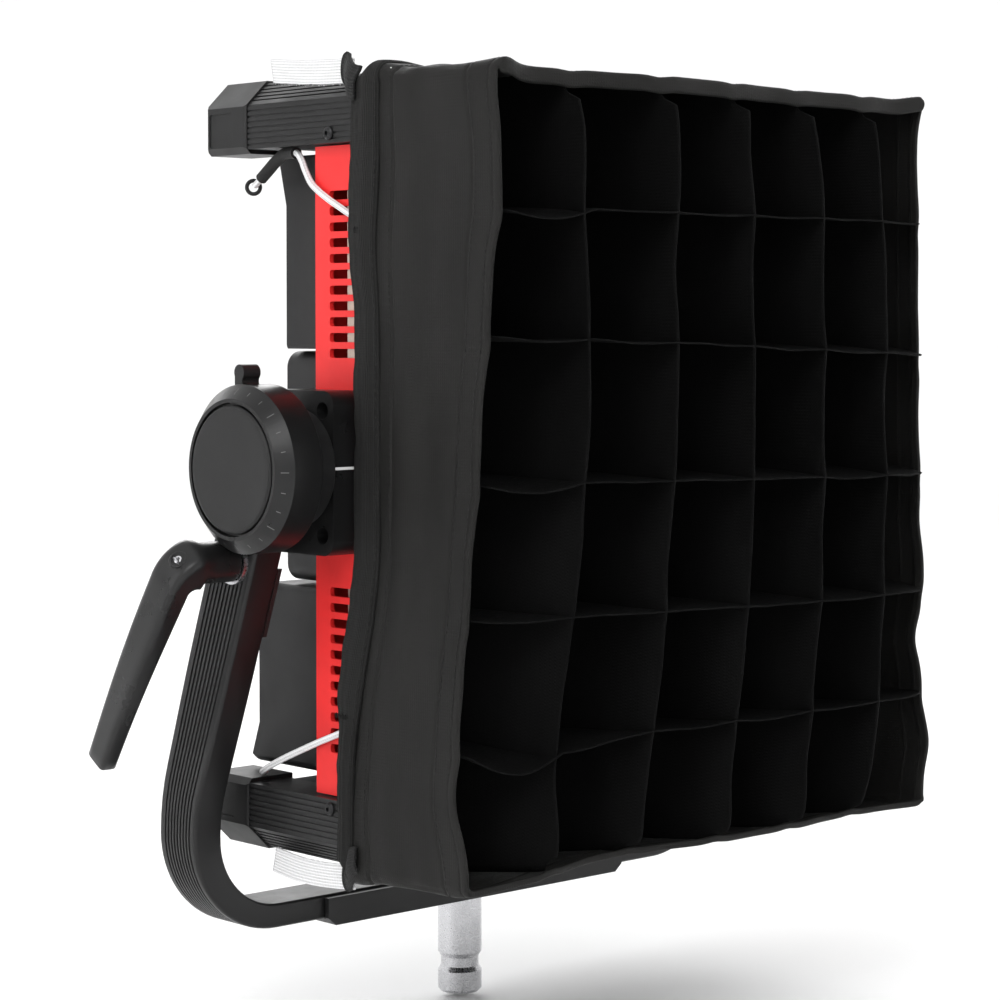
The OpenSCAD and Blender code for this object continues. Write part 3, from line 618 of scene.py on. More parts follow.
def perimeter(step, half_x, half_z, corner):
    """Points round a rounded rectangle with their outward normals and distances, in mm."""
    out = []
    spans = [(half_x - corner, half_z - corner, 0), (-half_x + corner, half_z - corner, 90),
             (-half_x + corner, -half_z + corner, 180), (half_x - corner, -half_z + corner, 270)]
    for n, (cx, cz, start) in enumerate(spans):
        turns = 8
        for k in range(turns + 1):
            a = math.radians(start + 90 * k / turns)
            out.append((cx + corner * math.cos(a), cz + corner * math.sin(a), math.cos(a), math.sin(a)))
        nx, nz = spans[(n + 1) % 4][:2]
        a = math.radians(start + 90)
        x0, z0 = cx + corner * math.cos(a), cz + corner * math.sin(a)
        x1, z1 = nx + corner * math.cos(a), nz + corner * math.sin(a)
        count = max(2, int(math.hypot(x1 - x0, z1 - z0) / step))
        for k in range(1, count):
            t = k / count
            out.append((mix(x0, x1, t), mix(z0, z1, t), math.cos(a), math.sin(a)))
    placed, s = [], 0.0
    for i, p in enumerate(out):
        q = out[i - 1]
        if i:
            s += math.hypot(p[0] - q[0], p[1] - q[1])
        placed.append((*p, s))
    return placed


def folds(x, z, nx, nz, w):
    """How far the sleeve's cloth stands out of its plain shape, in mm."""
    side = abs(nx) > abs(nz)
    along = z if side else x
    across = w * SKIRT
    soft = 2.0 * ripple(along, across * 2.2, nx * 40 + nz * 90, 0.011, 3.0)
    long_folds = 1.3 * ripple(along * 0.1, across, nx * 50 + nz * 20, 0.05, 9.0)
    small = 0.4 * ripple(along, across, nx * 9 + nz * 7, 0.06, 5.0)
    body = math.sin(math.pi * clamp01(w)) ** 0.7
    pinch = 0.0
    half = HALF_Z if side else HALF_X
    for k in range(1, CELLS):
        place = -half + 2 * half * k / CELLS
        pinch -= 1.0 * bump(along, place - (6 if side else 0), 7) * (1 - smooth(w / 0.3))
        pinch -= 0.6 * bump(along, place, 9) * bump(w, SEAM_REAR, 0.1)
    corner_pull = 1.6 * bump(abs(along), half - 26, 20) * body
    return (soft + long_folds) * body + small * (0.4 + 0.6 * body) + pinch + corner_pull


# Depths of the sleeve's three seams, as fractions from the front rim.
SEAM_REAR = 0.80
SEAM_FRONT = 0.20
HEM = 0.045


def seam_dip(w):
    """Seams draw the fabric in, in mm."""
    dip = 0.0
    for place, deep in ((SEAM_REAR, 0.75), (SEAM_FRONT, 0.55), (HEM, 0.3)):
        dip -= deep * bump(w * SKIRT, place * SKIRT, 0.9)
    return dip


def corner_arch(x, z, nz):
    """How far the band lifts the fabric where it turns over a corner."""
    corner = smooth((abs(x) - HALF_X + 55) / 40) * smooth((abs(z) - HALF_Z + 30) / 30)
    return (4.0 if z > 0 else 1.5) * corner * abs(nz)


def sleeve_skin(x, z, nx, nz, w, inset=0.0):
    """A point of the sleeve's fabric. It runs back to where the elastic band covers it."""
    u, v = x / HALF_X, z / HALF_Z
    p = cloth_point(u, v, w, band_front(x, z) + 8)
    out = folds(x, z, nx, nz, w) + seam_dip(w) - inset
    if nx > 0.5:
        wave = 2.5 * bump(z, -66, 22) - 5.5 * bump(z, -114, 18) + 7.5 * bump(z, -187, 19)
        out += wave * (1 - smooth(w / 0.6))
    out += corner_arch(x, z, nz) * smooth((w - 0.72) / 0.22)
    p.x += nx * out
    p.z += nz * out - 6 * smooth((-x - 60) / 110) * smooth((-z - HALF_Z + 30) / 30)
    if w < 0.3:
        fade = 1 - smooth(w / 0.3)
        p += Vector((1, -4, 3)) * bump(x, -188, 14) * bump(z, 228, 16) * fade
        p += Vector((2, -3, 3)) * bump(x, 190, 12) * bump(z, 230, 14) * fade
        p += Vector((-2, 2, -1)) * bump(x, -190, 16) * bump(z, -230, 16) * fade
    return p


def rim_scallop(x, z, nx, nz):
    """The rim's edge lies back between the sewn crossings."""
    side = abs(nx) > abs(nz)
    along, half = (z, HALF_Z) if side else (x, HALF_X)
    cell = (along + half) / (2 * half) * CELLS
    return 1.6 * math.sin(math.pi * (cell % 1.0)) ** 2 + 1.4 * ripple(along, nx * 30, nz * 30, 0.03, 2.0)


def sleeve_edge(x, z, nx, nz, w, inset=0.0):
    """The sleeve's fabric with its scalloped rim."""
    back = rim_scallop(x, z, nx, nz) * (1 - smooth(w / 0.35))
    return sleeve_skin(x, z, nx, nz, w, inset) + Vector((0, back, 0))


def depth_steps():
    """Depths of the sleeve's rings of points, closer together at the seams."""
    marks = [k / 40 for k in range(41)]
    for place in (SEAM_REAR, SEAM_FRONT, HEM):
        marks += [place + d / SKIRT for d in (-1.6, -0.9, -0.45, 0, 0.45, 0.9, 1.6)]
    marks = sorted(m for m in marks if 0 <= m <= 1)
    return [m for i, m in enumerate(marks) if i == 0 or m - marks[i - 1] > 0.003]


def make_sleeve():
    """The sleeve: its outside from back to front, a rolled lip, and its inside to the back."""
    loop = perimeter(4.0, HALF_X, HALF_Z, 7)
    steps = depth_steps()
    rings = []
    for w in reversed(steps):
        rings.append([sleeve_edge(x, z, nx, nz, w) for x, z, nx, nz, s in loop])
    front = rings[-1]
    for lift, deep in ((0.5, 0.8), (1.3, 1.0), (2.1, 0.7), (2.5, 0)):
        rings.append([p + Vector((-nx * lift, -deep, -nz * lift * (3.8 if nz > 0.5 else 1.6)))
                      for p, (x, z, nx, nz, s) in zip(front, loop)])
    for w in steps[1:]:
        inset = 2.5 if w < HEM * 1.6 else 1.5
        rings.append([sleeve_edge(x, z, nx, nz, w, inset) for x, z, nx, nz, s in loop])
    points = [p for ring in rings for p in ring]
    faces = [tuple(reversed(f)) for f in grid_faces(len(rings), len(loop), close_v=True)]
    sleeve = head_piece("sleeve", points, faces, "softbox_fabric")
    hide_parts("softbox_sleeve")


def stitch_row(points, normals, length=2.4, gap=1.5, radius=0.16, lift=0.1):
    """Short thread ends laid along a line, as boxes with tapered ends. Returns verts and faces."""
    verts, faces = [], []
    marks = [0.0]
    for a, b in zip(points, points[1:]):
        marks.append(marks[-1] + (b - a).length)
    total, place = marks[-1], 0.4
    i = 0

    def at(d):
        nonlocal i
        while i < len(marks) - 2 and marks[i + 1] < d:
            i += 1
        t = (d - marks[i]) / max(marks[i + 1] - marks[i], 1e-6)
        return points[i].lerp(points[i + 1], t), normals[i].lerp(normals[i + 1], t).normalized()

    while place + length < total:
        ends = [at(place), at(place + length * 0.5), at(place + length)]
        ahead = (ends[2][0] - ends[0][0]).normalized()
        base = len(verts)
        for (p, n), high, wide in zip(ends, (0.0, 1.0, 0.0), (0.5, 1.0, 0.5)):
            side = ahead.cross(n).normalized()
            top = p + n * (lift + radius * (0.3 + high))
            low = p - n * radius
            verts += [top + side * radius * wide, top - side * radius * wide,
                      low - side * radius * wide, low + side * radius * wide]
        for k in (0, 4):
            for c in range(4):
                a = base + k + c
                b = base + k + (c + 1) % 4
                faces.append((a, b, b + 4, a + 4))
        faces.append((base + 3, base + 2, base + 1, base))
        faces.append((base + 8, base + 9, base + 10, base + 11))
        place += length + gap
    return verts, faces


def make_sleeve_stitches():
    """Stitches along the sleeve's seams and up each line where a grid strip is sewn on."""
    loop = perimeter(5.0, HALF_X, HALF_Z, 7)
    verts, faces = [], []

    def lay(points, normals, **kw):
        v, f = stitch_row(points, normals, **kw)
        base = len(verts)
        verts.extend(v)
        faces.extend(tuple(base + k for k in face) for face in f)

    for w in (SEAM_REAR + 0.022, SEAM_FRONT - 0.022, HEM + 0.008):
        pts = [sleeve_edge(x, z, nx, nz, w) for x, z, nx, nz, s in loop]
        nrm = [Vector((nx, 0, nz)) for x, z, nx, nz, s in loop]
        lay(pts + pts[:1], nrm + nrm[:1])
    for side, half, other in ((1, HALF_Z, HALF_X), (0, HALF_X, HALF_Z)):
        for sign in (-1, 1):
            for k in range(1, CELLS):
                along = -half + 2 * half * k / CELLS - (6 if side else 0)
                x, z = (sign * other, along) if side else (along, sign * other)
                nx, nz = (sign, 0) if side else (0, sign)
                for w0, w1 in ((HEM, SEAM_FRONT - 0.02), (SEAM_REAR + 0.03, 0.985)):
                    pts = [sleeve_edge(x, z, nx, nz, mix(w0, w1, t / 8)) for t in range(9)]
                    lay(pts, [Vector((nx, 0, nz))] * 9)
    head_piece("sleeve_stitching", verts, faces, "thread", shade=False)


def band_width(x, z):
    """Width of the band: gathered, and narrower where it has slipped at the near foot."""
    near = 24 + 4 * bump(z, 175, 40) - 8 * smooth((-z - 120) / 40)
    width = mix(near, 23.0, smooth((x + HALF_X) / (1.2 * HALF_X)))
    return width + 1.8 * ripple(x, z, 0, 0.045, 4.0) + 1.1 * ripple(x, z, 50, 0.11, 1.0)


def make_band():
    """The ribbed elastic band, lifted at the corners and sinking onto the lamp behind."""
    ribs = 15
    loop = perimeter(3.2, HALF_X + 0.4, HALF_Z + 0.4, 9)
    across = 75
    rings = []
    for j in range(across + 1):
        t = j / across
        ring = []
        for x, z, nx, nz, s in loop:
            lip = 0.9 * (1 - smooth(t / 0.05))
            rib = 0.13 * math.cos(2 * math.pi * ribs * t) * smooth(t / 0.06) * smooth((1 - t) / 0.05)
            gather = 0.9 * ripple(s, t * 14, 0, 0.045, 6.0) * math.sin(math.pi * clamp01(t * 0.9 + 0.1))
            droop = 2.6 * smooth((t - 0.35) / 0.65)
            arch = corner_arch(x, z, nz) * (1 - smooth((t - 0.3) / 0.7))
            out = 1.3 + 0.8 * math.sin(math.pi * t) + rib + gather + arch - droop - lip
            y = band_front(x, z) + band_width(x, z) * t + 0.5 * ripple(s, 0, 0, 0.03, 8.0)
            ring.append(Vector((x + nx * out, y, z + LAMP_DZ + nz * out)))
        rings.append(ring)
    thick = 1.3
    for ring in reversed(rings[:]):
        rings.append([p - Vector((nx, 0, nz)) * thick for p, (x, z, nx, nz, s) in zip(ring, loop)])
    points = [p for ring in rings for p in ring]
    there_and_back = list(range(across + 1)) + list(range(across, -1, -1))
    uvs = [(s * MM, row / across * 0.026) for row in there_and_back for x, z, nx, nz, s in loop]
    faces = grid_faces(len(rings), len(loop), close_u=True, close_v=True)
    band = head_piece("band", points, faces, "elastic", uvs=uvs)
    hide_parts("elastic_band")


def make_band_stitches():
    """The row of stitches along the band's front edge."""
    loop = perimeter(5.0, HALF_X + 0.4, HALF_Z + 0.4, 9)
    pts, nrm = [], []
    for x, z, nx, nz, s in loop:
        pts.append(Vector((x + nx * 1.9, band_front(x, z) + 1.6, z + LAMP_DZ + nz * 1.9)))
        nrm.append(Vector((nx, 0, nz)))
    verts, faces = stitch_row(pts + pts[:1], nrm + nrm[:1], length=3.0, gap=2.0)
    head_piece("band_stitching", verts, faces, "thread", shade=False)


def slat_bow(n, a, seed):
    """Sideways bow of a strip's front edge between its crossings. It is 0 at each crossing."""
    cell = a * CELLS
    k = min(int(cell), CELLS - 1)
    rng = random.Random(seed * 31 + n * 7 + k)
    amp = rng.uniform(-2.0, 2.0)
    skew = rng.uniform(-0.25, 0.25)
    f = cell - k
    shape = math.sin(math.pi * f) * (1 + skew * math.cos(math.pi * f) * 2)
    return amp * shape, k, f


def strip_sheet(rows, thickness, normal_hint):
    """Closed thin sheet from rows of points; rows run front to back."""
    nu, nv = len(rows), len(rows[0])
    top, low = [], []
    for i in range(nu):
        for j in range(nv):
            du = rows[min(i + 1, nu - 1)][j] - rows[max(i - 1, 0)][j]
            dv = rows[i][min(j + 1, nv - 1)] - rows[i][max(j - 1, 0)]
            n = du.cross(dv)
            if n.dot(normal_hint) < 0:
                n.negate()
            n.normalize()
            t = thickness / 2 * (1.5 if i in (0, 1) else 1.0)
            top.append(rows[i][j] + n * t)
            low.append(rows[i][j] - n * t)
    count = nu * nv
    faces = grid_faces(nu, nv)
    faces += [tuple(reversed(f)) for f in grid_faces(nu, nv, start=count)]
    rim = [i * nv for i in range(nu)] + [(nu - 1) * nv + j for j in range(1, nv)]
    rim += [i * nv + nv - 1 for i in range(nu - 2, -1, -1)] + [j for j in range(nv - 2, 0, -1)]
    for a, b in zip(rim, rim[1:] + rim[:1]):
        faces.append((b, a, a + count, b + count))
    return top + low, faces


def inside_skin(p, u, v, level):
    """Keeps a strip's end just inside the sleeve it is sewn to."""
    front = front_y(u, v)
    x, z = HALF_X * u, HALF_Z * v
    w = clamp01((p.y - front) / (band_front(x, z) + 8 - front))
    if level and abs(u) > 0.9:
        side = 1 if u > 0 else -1
        wall = sleeve_skin(side * HALF_X, z, side, 0, w).x * side
        p.x = side * min(p.x * side, wall - 1.6)
    elif not level and abs(v) > 0.9:
        side = 1 if v > 0 else -1
        wall = sleeve_skin(x, side * HALF_Z, 0, side, w).z * side
        p.z = side * min(p.z * side, wall - 1.6)
    return p


STRIP_DEPTHS = (0, 0.02, 0.05, 0.09, 0.15, 0.25, 0.4, 0.6, 0.8, 1.0)
FIRST_SAG = {1: 12.5, 2: 1.5, 3: 5.0, 4: 2.0, 5: 5.5}    # slack of each row beside the near wall


def crosser_rows(k):
    """The level strip at row k, as rows of points from its front hem to its back."""
    v = -1 + 2 * k / CELLS
    rows = []
    across = 96
    for d in STRIP_DEPTHS:
        row = []
        for i in range(across + 1):
            a = i / across
            u = -1 + 2 * a
            p = cloth_point(u, v, d)
            side, cell, f = slat_bow(k, a, 5)
            hang = math.sin(math.pi * f)
            sag = FIRST_SAG[k] if cell == 0 else 0.8
            if k == 1:
                p.z -= 7 * bump(u, -0.667, 0.2) * (1 - d)
            fade = (1 - d) ** 2
            p.z += (-sag * hang + side * 0.4) * fade + 0.7 * ripple(p.x, p.y, k * 50, 0.04, 1.0) * hang
            p.y += (1.6 * hang + 1.0 * ripple(p.x, 0, k * 30, 0.03)) * fade
            behind = front_y(math.copysign(1, u), v) + 3.5
            p.y += max(0.0, behind - p.y) * smooth((abs(u) - 0.955) / 0.02)
            row.append(inside_skin(p, u, v, True))
        rows.append(row)
    return rows


def upright_rows(i):
    """The upright strip at column i. Its rear edge is sewn a little to the near side at its foot."""
    u = -1 + 2 * i / CELLS
    rows = []
    high = 108
    for d in STRIP_DEPTHS:
        row = []
        for k in range(high + 1):
            a = k / high
            v = -1 + 2 * a
            p = cloth_point(u, v, d)
            side, cell, f = slat_bow(i, a, 11)
            fade = (1 - d) ** 2
            hang = math.sin(math.pi * f)
            lean = 2.4 if cell == CELLS - 1 else 0.8
            p.x += (side + lean * hang) * fade + 0.8 * ripple(p.z, p.y, i * 50, 0.035, 3.0) * hang
            p.x -= (21 if i == 1 else 13) * d * smooth((-v + 0.12) / 0.5)
            if i == 1:
                p.x -= (9 * bump(v, 0.667, 0.3) + 4 * bump(v, -0.667, 0.3)) * fade
            p.y += (1.6 * hang + 0.8 * ripple(p.z, 0, i * 30, 0.03)) * fade
            behind = front_y(u, math.copysign(1, v)) + 3.5
            p.y += max(0.0, behind - p.y) * smooth((abs(v) - (0.93 if v > 0 else 0.96)) / 0.022)
            row.append(inside_skin(p, u, v, False))
        rows.append(row)
    return rows


def make_grid():
    """Five strips each way, sewn together where they cross."""
    for name, node, build, hint, size in (
            ("grid_level_strips", "grid_crossers", crosser_rows, Vector((0, 0, 1)), (0.388, 0.081)),
            ("grid_upright_strips", "grid_uprights", upright_rows, Vector((1, 0, 0)), (0.464, 0.081))):
        for n in range(1, CELLS):
            verts, faces = strip_sheet(build(n), 0.7, hint)
            piece = head_piece("%s_%d" % (name, n), verts, faces, "grid_fabric")
            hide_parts(node)


def make_diffuser():
    """The white sheet behind the grid, a little slack."""
    nu, nv = 60, 72
    rows = []
    for i in range(nu + 1):
        row = []
        for j in range(nv + 1):
            u, v = -1 + 2 * i / nu, -1 + 2 * j / nv
            slack = (1 - u * u) * (1 - v * v)
            y = BACK_Y + 1.6 + 1.3 * ripple(u * 190, v * 228, 0, 0.018, 7.0) * slack
            row.append(Vector((190.5 * u, y, 228.5 * v + LAMP_DZ)))
        rows.append(row)
    verts, faces = strip_sheet(rows, 0.5, Vector((0, -1, 0)))
    sheet = head_piece("diffusion_sheet", verts, faces, "white_cloth")
    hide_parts("diffuser_cloth")


# ---- cords, their loops and the pull tabs --------------------------------------
# Routes are the CAD's own, in the head's frame, on the right side.

UPPER_CORD = [(187, 100, 138), (187, 108, 142), (187, 116, 145.5), (187, 124, 149.3),
              (187, 132, 153), (187, 142, 158.5), (187, 149, 163.5), (186.5, 155, 171),
              (185.5, 160, 177.5), (183, 168, 181.9), (180, 182, 182.2), (178, 193, 178.6),
              (176.5, 203, 173.4), (175.5, 211, 169), (175, 218, 165)]
LOWER_CORD = [(187, 100, -145), (187, 114, -150.5), (187, 129, -156), (187, 145, -162),
              (187, 160, -168), (186.5, 175, -174), (185.5, 188, -179.5), (183, 199, -184),
              (179, 207, -187), (173, 212, -187.5), (167, 208, -187.5), (164, 199, -187.5),
              (163.5, 188, -187.5)]
CORD_R = 2.0 * MM


def route(points, side):
    return [at_head(x * side, y, z) for x, y, z in points]


def braided_tube(name, path, radius, material, body, sides=16):
    """A braided cord: two sets of low ridges wind round it in opposite senses."""
    dense = curve_through(path, 14)
    marks = [0.0]
    for a, b in zip(dense, dense[1:]):
        marks.append(marks[-1] + (b - a).length)
    rings = tube_points(dense, radius, sides)
    verts, uvs = [], []
    for i, centre in enumerate(dense):
        for k in range(sides):
            p = rings[i * sides + k]
            turn = 2 * math.pi * k / sides
            ridge = math.cos(4 * turn + marks[i] * 2300) * math.cos(4 * turn - marks[i] * 2300)
            out = (p - centre).normalized()
            verts.append(p + out * (ridge * 0.055 - 0.04) * MM)
            uvs.append((marks[i], turn * radius))
    faces = grid_faces(len(dense), sides, close_v=True) + end_caps(len(verts), sides)
    return add_piece(name, verts, faces, material, body, uvs=uvs), dense


def ring_of_rubber(name, centre, axis, radius, thick, material, body):
    outline = [(radius + thick * math.cos(a), thick * 1.25 * math.sin(a))
               for a in [2 * math.pi * k / 16 for k in range(16)]]
    return lathe(name, outline, centre, axis, material, body, steps=40, closed=True)


def make_cords():
    """Two cords a side, the upper one with its black pull sleeve and ring."""
    cord = MATS["white_cord"]
    for tag, side in (("left", -1), ("right", 1)):
        upper, line = braided_tube("upper_cord_" + tag, route(UPPER_CORD, side), CORD_R, cord, "head")
        sleeve_path = curve_through(route(UPPER_CORD, side)[9:14], 6)
        grip = add_tube("pull_sleeve_" + tag, sleeve_path, 3.6 * MM, MATS["black_webbing"], "head",
                        sides=18)
        ahead = (line[-1] - line[-6]).normalized()
        facing = Vector((side * 0.676, -0.737, 0))
        ring = ring_of_rubber("pull_ring_" + tag, line[-1] + ahead * 2.0 * MM, facing,
                              4.0 * MM, 1.2 * MM, MATS["control"], "head")
        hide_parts("bungee_cords")
        shown = route(LOWER_CORD[:-3], side)      # the tail behind the corner cap isn't drawn
        lower, line = braided_tube("lower_cord_" + tag, shown, CORD_R, cord, "head")
        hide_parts("bungee_cords")
        make_cord_tacks(tag, side)


def make_cord_tacks(tag, side):
    """Bar tacks that sew the cords' ends under the elastic band."""
    for n, z in ((1, 135), (2, -142)):
        pts = []
        for k in range(26):
            y = band_front(side * HALF_X, z) + 7 + 11 * k / 25
            x = HALF_X + 2.2 + 0.4 * math.sin(k)
            pts.append(Vector((side * x, y, z + (1.4 if k % 2 else -1.4) + 0.3 * math.sin(k * 1.7))))
        verts = tube_points([HEAD + p * MM for p in pts], 0.22 * MM, 5)
        faces = grid_faces(len(pts), 5, close_v=True)
        add_piece("cord_tack_%s_%d" % (tag, n), verts, faces, MATS["thread"], "head")


TAB_X = 183.0
TAB_TOP = (221.0, 236.0)     # edges of an upper tab
TAB_LOW = (229.0, 244.0)     # edges of a lower tab, below the axis
TAB_FRONT = 114.0            # a tab's front end, under its anchor
ANCHOR_SPAN = (121.0, 100.0)    # rear and front ends of an anchor


def make_tabs():
    """Folded webbing tabs at the four corners, and the black anchors that hold them to the band."""
    for side in (-1, 1):
        for rise in (-1, 1):
            tag = ("right" if side > 0 else "left") + ("_top" if rise > 0 else "_bottom")
            if rise > 0:
                (low, high_z), end_y, bow, drop, length = TAB_TOP, 190.0, 1.0, 1.0, 0.076
            else:
                (low, high_z), end_y, bow, drop, length = TAB_LOW, 189.0, 4.0, -2.0, 0.075
            long, high = 48, 12
            rows = []
            for j in range(high + 1):
                t = j / high
                row = []
                for i in range(long + 1):
                    a = i / long
                    y = mix(TAB_FRONT, end_y - 3.0 * (1 - t), a)
                    fray = 0.35 * ripple(y, 0, side * 9, 0.9, 2.0) if j == 0 else 0
                    z = mix(low + 0.3, high_z - 0.4, t) - drop * math.sin(math.pi * a) + fray
                    z += mix(-2.0, 2.6, a) if rise > 0 else 0
                    x = TAB_X + 0.8 + bow * math.sin(math.pi * a * 0.9) * (0.6 + 0.4 * t)
                    x += 0.3 * ripple(y, z, rise * 7, 0.05)
                    row.append(Vector((side * x, y, rise * z)))
                rows.append(row)
            verts, faces = strip_sheet(rows, 1.3, Vector((side, 0, 0)))
            uvs = [(i / (long + 1) * 0.09, j / (high + 1) * 0.015)
                   for j in range(high + 1) for i in range(long + 1)] * 2
            tab = head_piece("tab_" + tag, verts, faces, "white_webbing", uvs=uvs)
            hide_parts("pull_tabs")
            make_fray(tag, side, rise, rows[0])
            make_anchor(tag, side, rise, low, high_z)


def make_fray(tag, side, rise, edge):
    """Loose threads along the tab's cut edge."""
    rng = random.Random(side * 5 + rise * 3 + 40)
    verts, faces = [], []
    for _ in range(46):
        root = edge[int(rng.random() * (len(edge) - 1))]
        path = [HEAD + root * MM]
        down = Vector((rng.uniform(-0.25, 0.25), rng.uniform(-0.9, 0.9), -rise * rng.uniform(0.5, 1.0)))
        for _ in range(3):
            path.append(path[-1] + down * rng.uniform(0.25, 0.5) * MM)
        base = len(verts)
        verts += tube_points(path, 0.09 * MM, 4)
        faces += [tuple(base + i for i in f) for f in grid_faces(len(path), 4, close_v=True)]
    add_piece("tab_fray_" + tag, verts, faces, MATS["white_webbing"], "head")


def make_anchor(tag, side, rise, low_z, high_z):
    """A black tape folded over the tab's end, which widens into the band's corner."""
    rows, uvs = [], []
    long, wide = 26, 18
    corner = HALF_Z + LAMP_DZ * rise
    for i in range(long + 1):
        a = i / long
        row = []
        for j in range(wide + 1):
            t = j / wide
            rounded = 3.5 * (1 - math.sqrt(1 - (2 * t - 1) ** 4)) * (1 - smooth(a / 0.45))
            y = mix(*ANCHOR_SPAN, a) - rounded
            low = mix(low_z - 2.5, corner - 16, smooth(a))
            high = mix(high_z + 0.8, corner + 3.6, smooth(a))
            z = mix(low, high, t)
            x = mix(TAB_X + 2.0, HALF_X + 1.6, smooth(a * 1.2)) - 5 * smooth(a) * smooth((t - 0.5) / 0.5)
            x += 1.6 * math.sin(math.pi * t) * (1 - 0.6 * a) + 0.5 * ripple(y, z, rise * 20, 0.07, side)
            row.append(Vector((side * x, y, rise * z)))
            uvs.append((a * 0.028, t * 0.02))
        rows.append(row)
    verts, faces = strip_sheet(rows, 2.0, Vector((side, 0, 0)))
    piece = head_piece("tab_anchor_" + tag, verts, faces, "black_webbing", uvs=uvs + uvs)


# ---- yoke ---------------------------------------------------------------------

ARM_X = YOKE_HIGH.x / MM     # outer face of the arms
ARM_T = 20.0
BAR_Z, BAR_T = 4.0, 15.0
BEND_OUT, BEND_IN = 62.0, 44.0
LEAN = math.radians(19.9)
LEAN_Z, LEAN_R = 66.0, 100.0


def arm_line(z):
    """Where the middle of an arm is at height z, and how far it has tipped."""
    top = LEAN_Z + LEAN_R * math.sin(LEAN)
    if z <= LEAN_Z:
        return 0.0, 0.0
    if z < top:
        a = math.asin((z - LEAN_Z) / LEAN_R)
        return -LEAN_R * (1 - math.cos(a)), a
    return -LEAN_R * (1 - math.cos(LEAN)) - (z - top) * math.tan(LEAN), LEAN


def yoke_section(half, depth):
    """Section of the bar as (across, in from the outer face): ribs outside, rounded edges."""
    points = []
    r = 2.6
    for k in range(7):
        a = math.radians(90 * k / 6)
        points.append((-half + r - r * math.cos(a), r - r * math.sin(a)))
    ribs, margin = 9, 4.6
    pitch = (2 * half - 2 * margin) / ribs
    for k in range(ribs):
        x = -half + margin + k * pitch
        groove = pitch * 0.42
        points += [(x, 0.0), (x + 0.18, 0.0), (x + 0.3, 0.75), (x + groove, 0.85),
                   (x + groove + 0.25, 0.75), (x + groove + 0.4, 0.0)]
    for k in range(7):
        a = math.radians(90 * k / 6)
        points.append((half - r + r * math.sin(a), r - r * math.cos(a)))
    s = 1.8
    for k in range(5):
        a = math.radians(90 * k / 4)
        points.append((half - s + s * math.cos(a), depth - s + s * math.sin(a)))
    for k in range(5):
        a = math.radians(90 * k / 4)
        points.append((-half + s - s * math.sin(a), depth - s + s * math.cos(a)))
    return points


def yoke_stations():
    """Stations along the right half: outer point, direction in to the inner face, and thickness."""
    stations = []
    top = TILT.z / MM - 8
    for k in range(25):
        z = mix(top, LEAN_Z, k / 24)
        stations.append((ARM_X, z, (-1, 0), ARM_T))
    cx, cz = ARM_X - BEND_OUT, BAR_Z + BEND_OUT
    ix, iz = ARM_X - ARM_T - BEND_IN, BAR_Z + BAR_T + BEND_IN
    for k in range(1, 21):
        a = math.radians(-90 * k / 20)
        ox, oz = cx + BEND_OUT * math.cos(a), cz + BEND_OUT * math.sin(a)
        nx, nz = ix + BEND_IN * math.cos(a), iz + BEND_IN * math.sin(a)
        deep = math.hypot(ox - nx, oz - nz)
        stations.append((ox, oz, ((nx - ox) / deep, (nz - oz) / deep), deep))
    for k in range(1, 6):
        stations.append((cx * (1 - k / 5), BAR_Z, (0, 1), BAR_T))
    return stations


def make_yoke():
    """The bent bar, swept along both halves, and the round boss at each arm's top."""
    right = yoke_stations()
    left = [(-x, z, (-d[0], d[1]), t) for x, z, d, t in reversed(right[:-1])]
    verts = []
    for x, z, (dx, dz), deep in right + left:
        mid, tip = arm_line(z)
        half = mix(18.0, 20.0, smooth((z - LEAN_Z) / 120))
        section = yoke_section(half, deep)
        n = len(section)
        for across, inward in section:
            y = mid + across * math.cos(tip)
            up = z + dz * inward + across * math.sin(tip)
            verts.append(Vector((x + dx * inward, y, up)) * MM)
    faces = grid_faces(len(verts) // n, n, close_v=True) + end_caps(len(verts), n)
    yoke = add_piece("yoke_bent_bar", verts, faces, MATS["yoke_metal"], "yoke")
    face_outwards(yoke)
    mark_sharp(yoke, 38)
    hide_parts("yoke_bar")
    for tag, side in (("left", -1), ("right", 1)):
        outline = [(11.2, 0), (33, 0), (34, 1), (34, ARM_T - 1), (33, ARM_T), (11.2, ARM_T)]
        centre = Vector((side * (ARM_X - ARM_T) * MM, TILT.y, TILT.z))
        boss = lathe("arm_boss_" + tag, in_metres(outline), centre, Vector((side, 0, 0)),
                     MATS["yoke_metal"], "yoke", steps=72)
        mark_sharp(boss, 38)
        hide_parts("yoke_bar")


BOX_FACES = ((0, 1, 3, 2), (4, 6, 7, 5), (0, 4, 5, 1), (2, 3, 7, 6), (1, 5, 7, 3), (0, 2, 6, 4))


def make_hub_details():
    """Moulded degree ticks on each hub's bevel."""
    for tag, side in (("left", -1), ("right", 1)):
        out = HUB_LOW.x if side < 0 else -HUB_LOW.x
        verts, faces = [], []
        for k in range(24):
            a = math.radians(360 * k / 24)
            long = 4.6 if k % 3 == 0 else 2.6
            radial = Vector((0, math.cos(a), math.sin(a)))
            around = Vector((0, -math.sin(a), math.cos(a)))
            outward = Vector((side, 0, 0))
            slope = (radial - outward).normalized()
            raised = (radial + outward).normalized()
            middle = Vector((out, TILT.y, TILT.z)) + (radial * 44.0 - outward * 4.0) * MM
            base = len(verts)
            for i in (-1, 1):
                for j in (-1, 1):
                    for h in (-0.15, 0.06):
                        corner = slope * i * long / 2 + around * j * 0.22 + raised * h
                        verts.append(middle + corner * MM)
            faces += [tuple(base + q for q in quad) for quad in BOX_FACES]
        ticks = add_piece("hub_ticks_" + tag, verts, faces, MATS["tick_grey"], "yoke", shade=False)


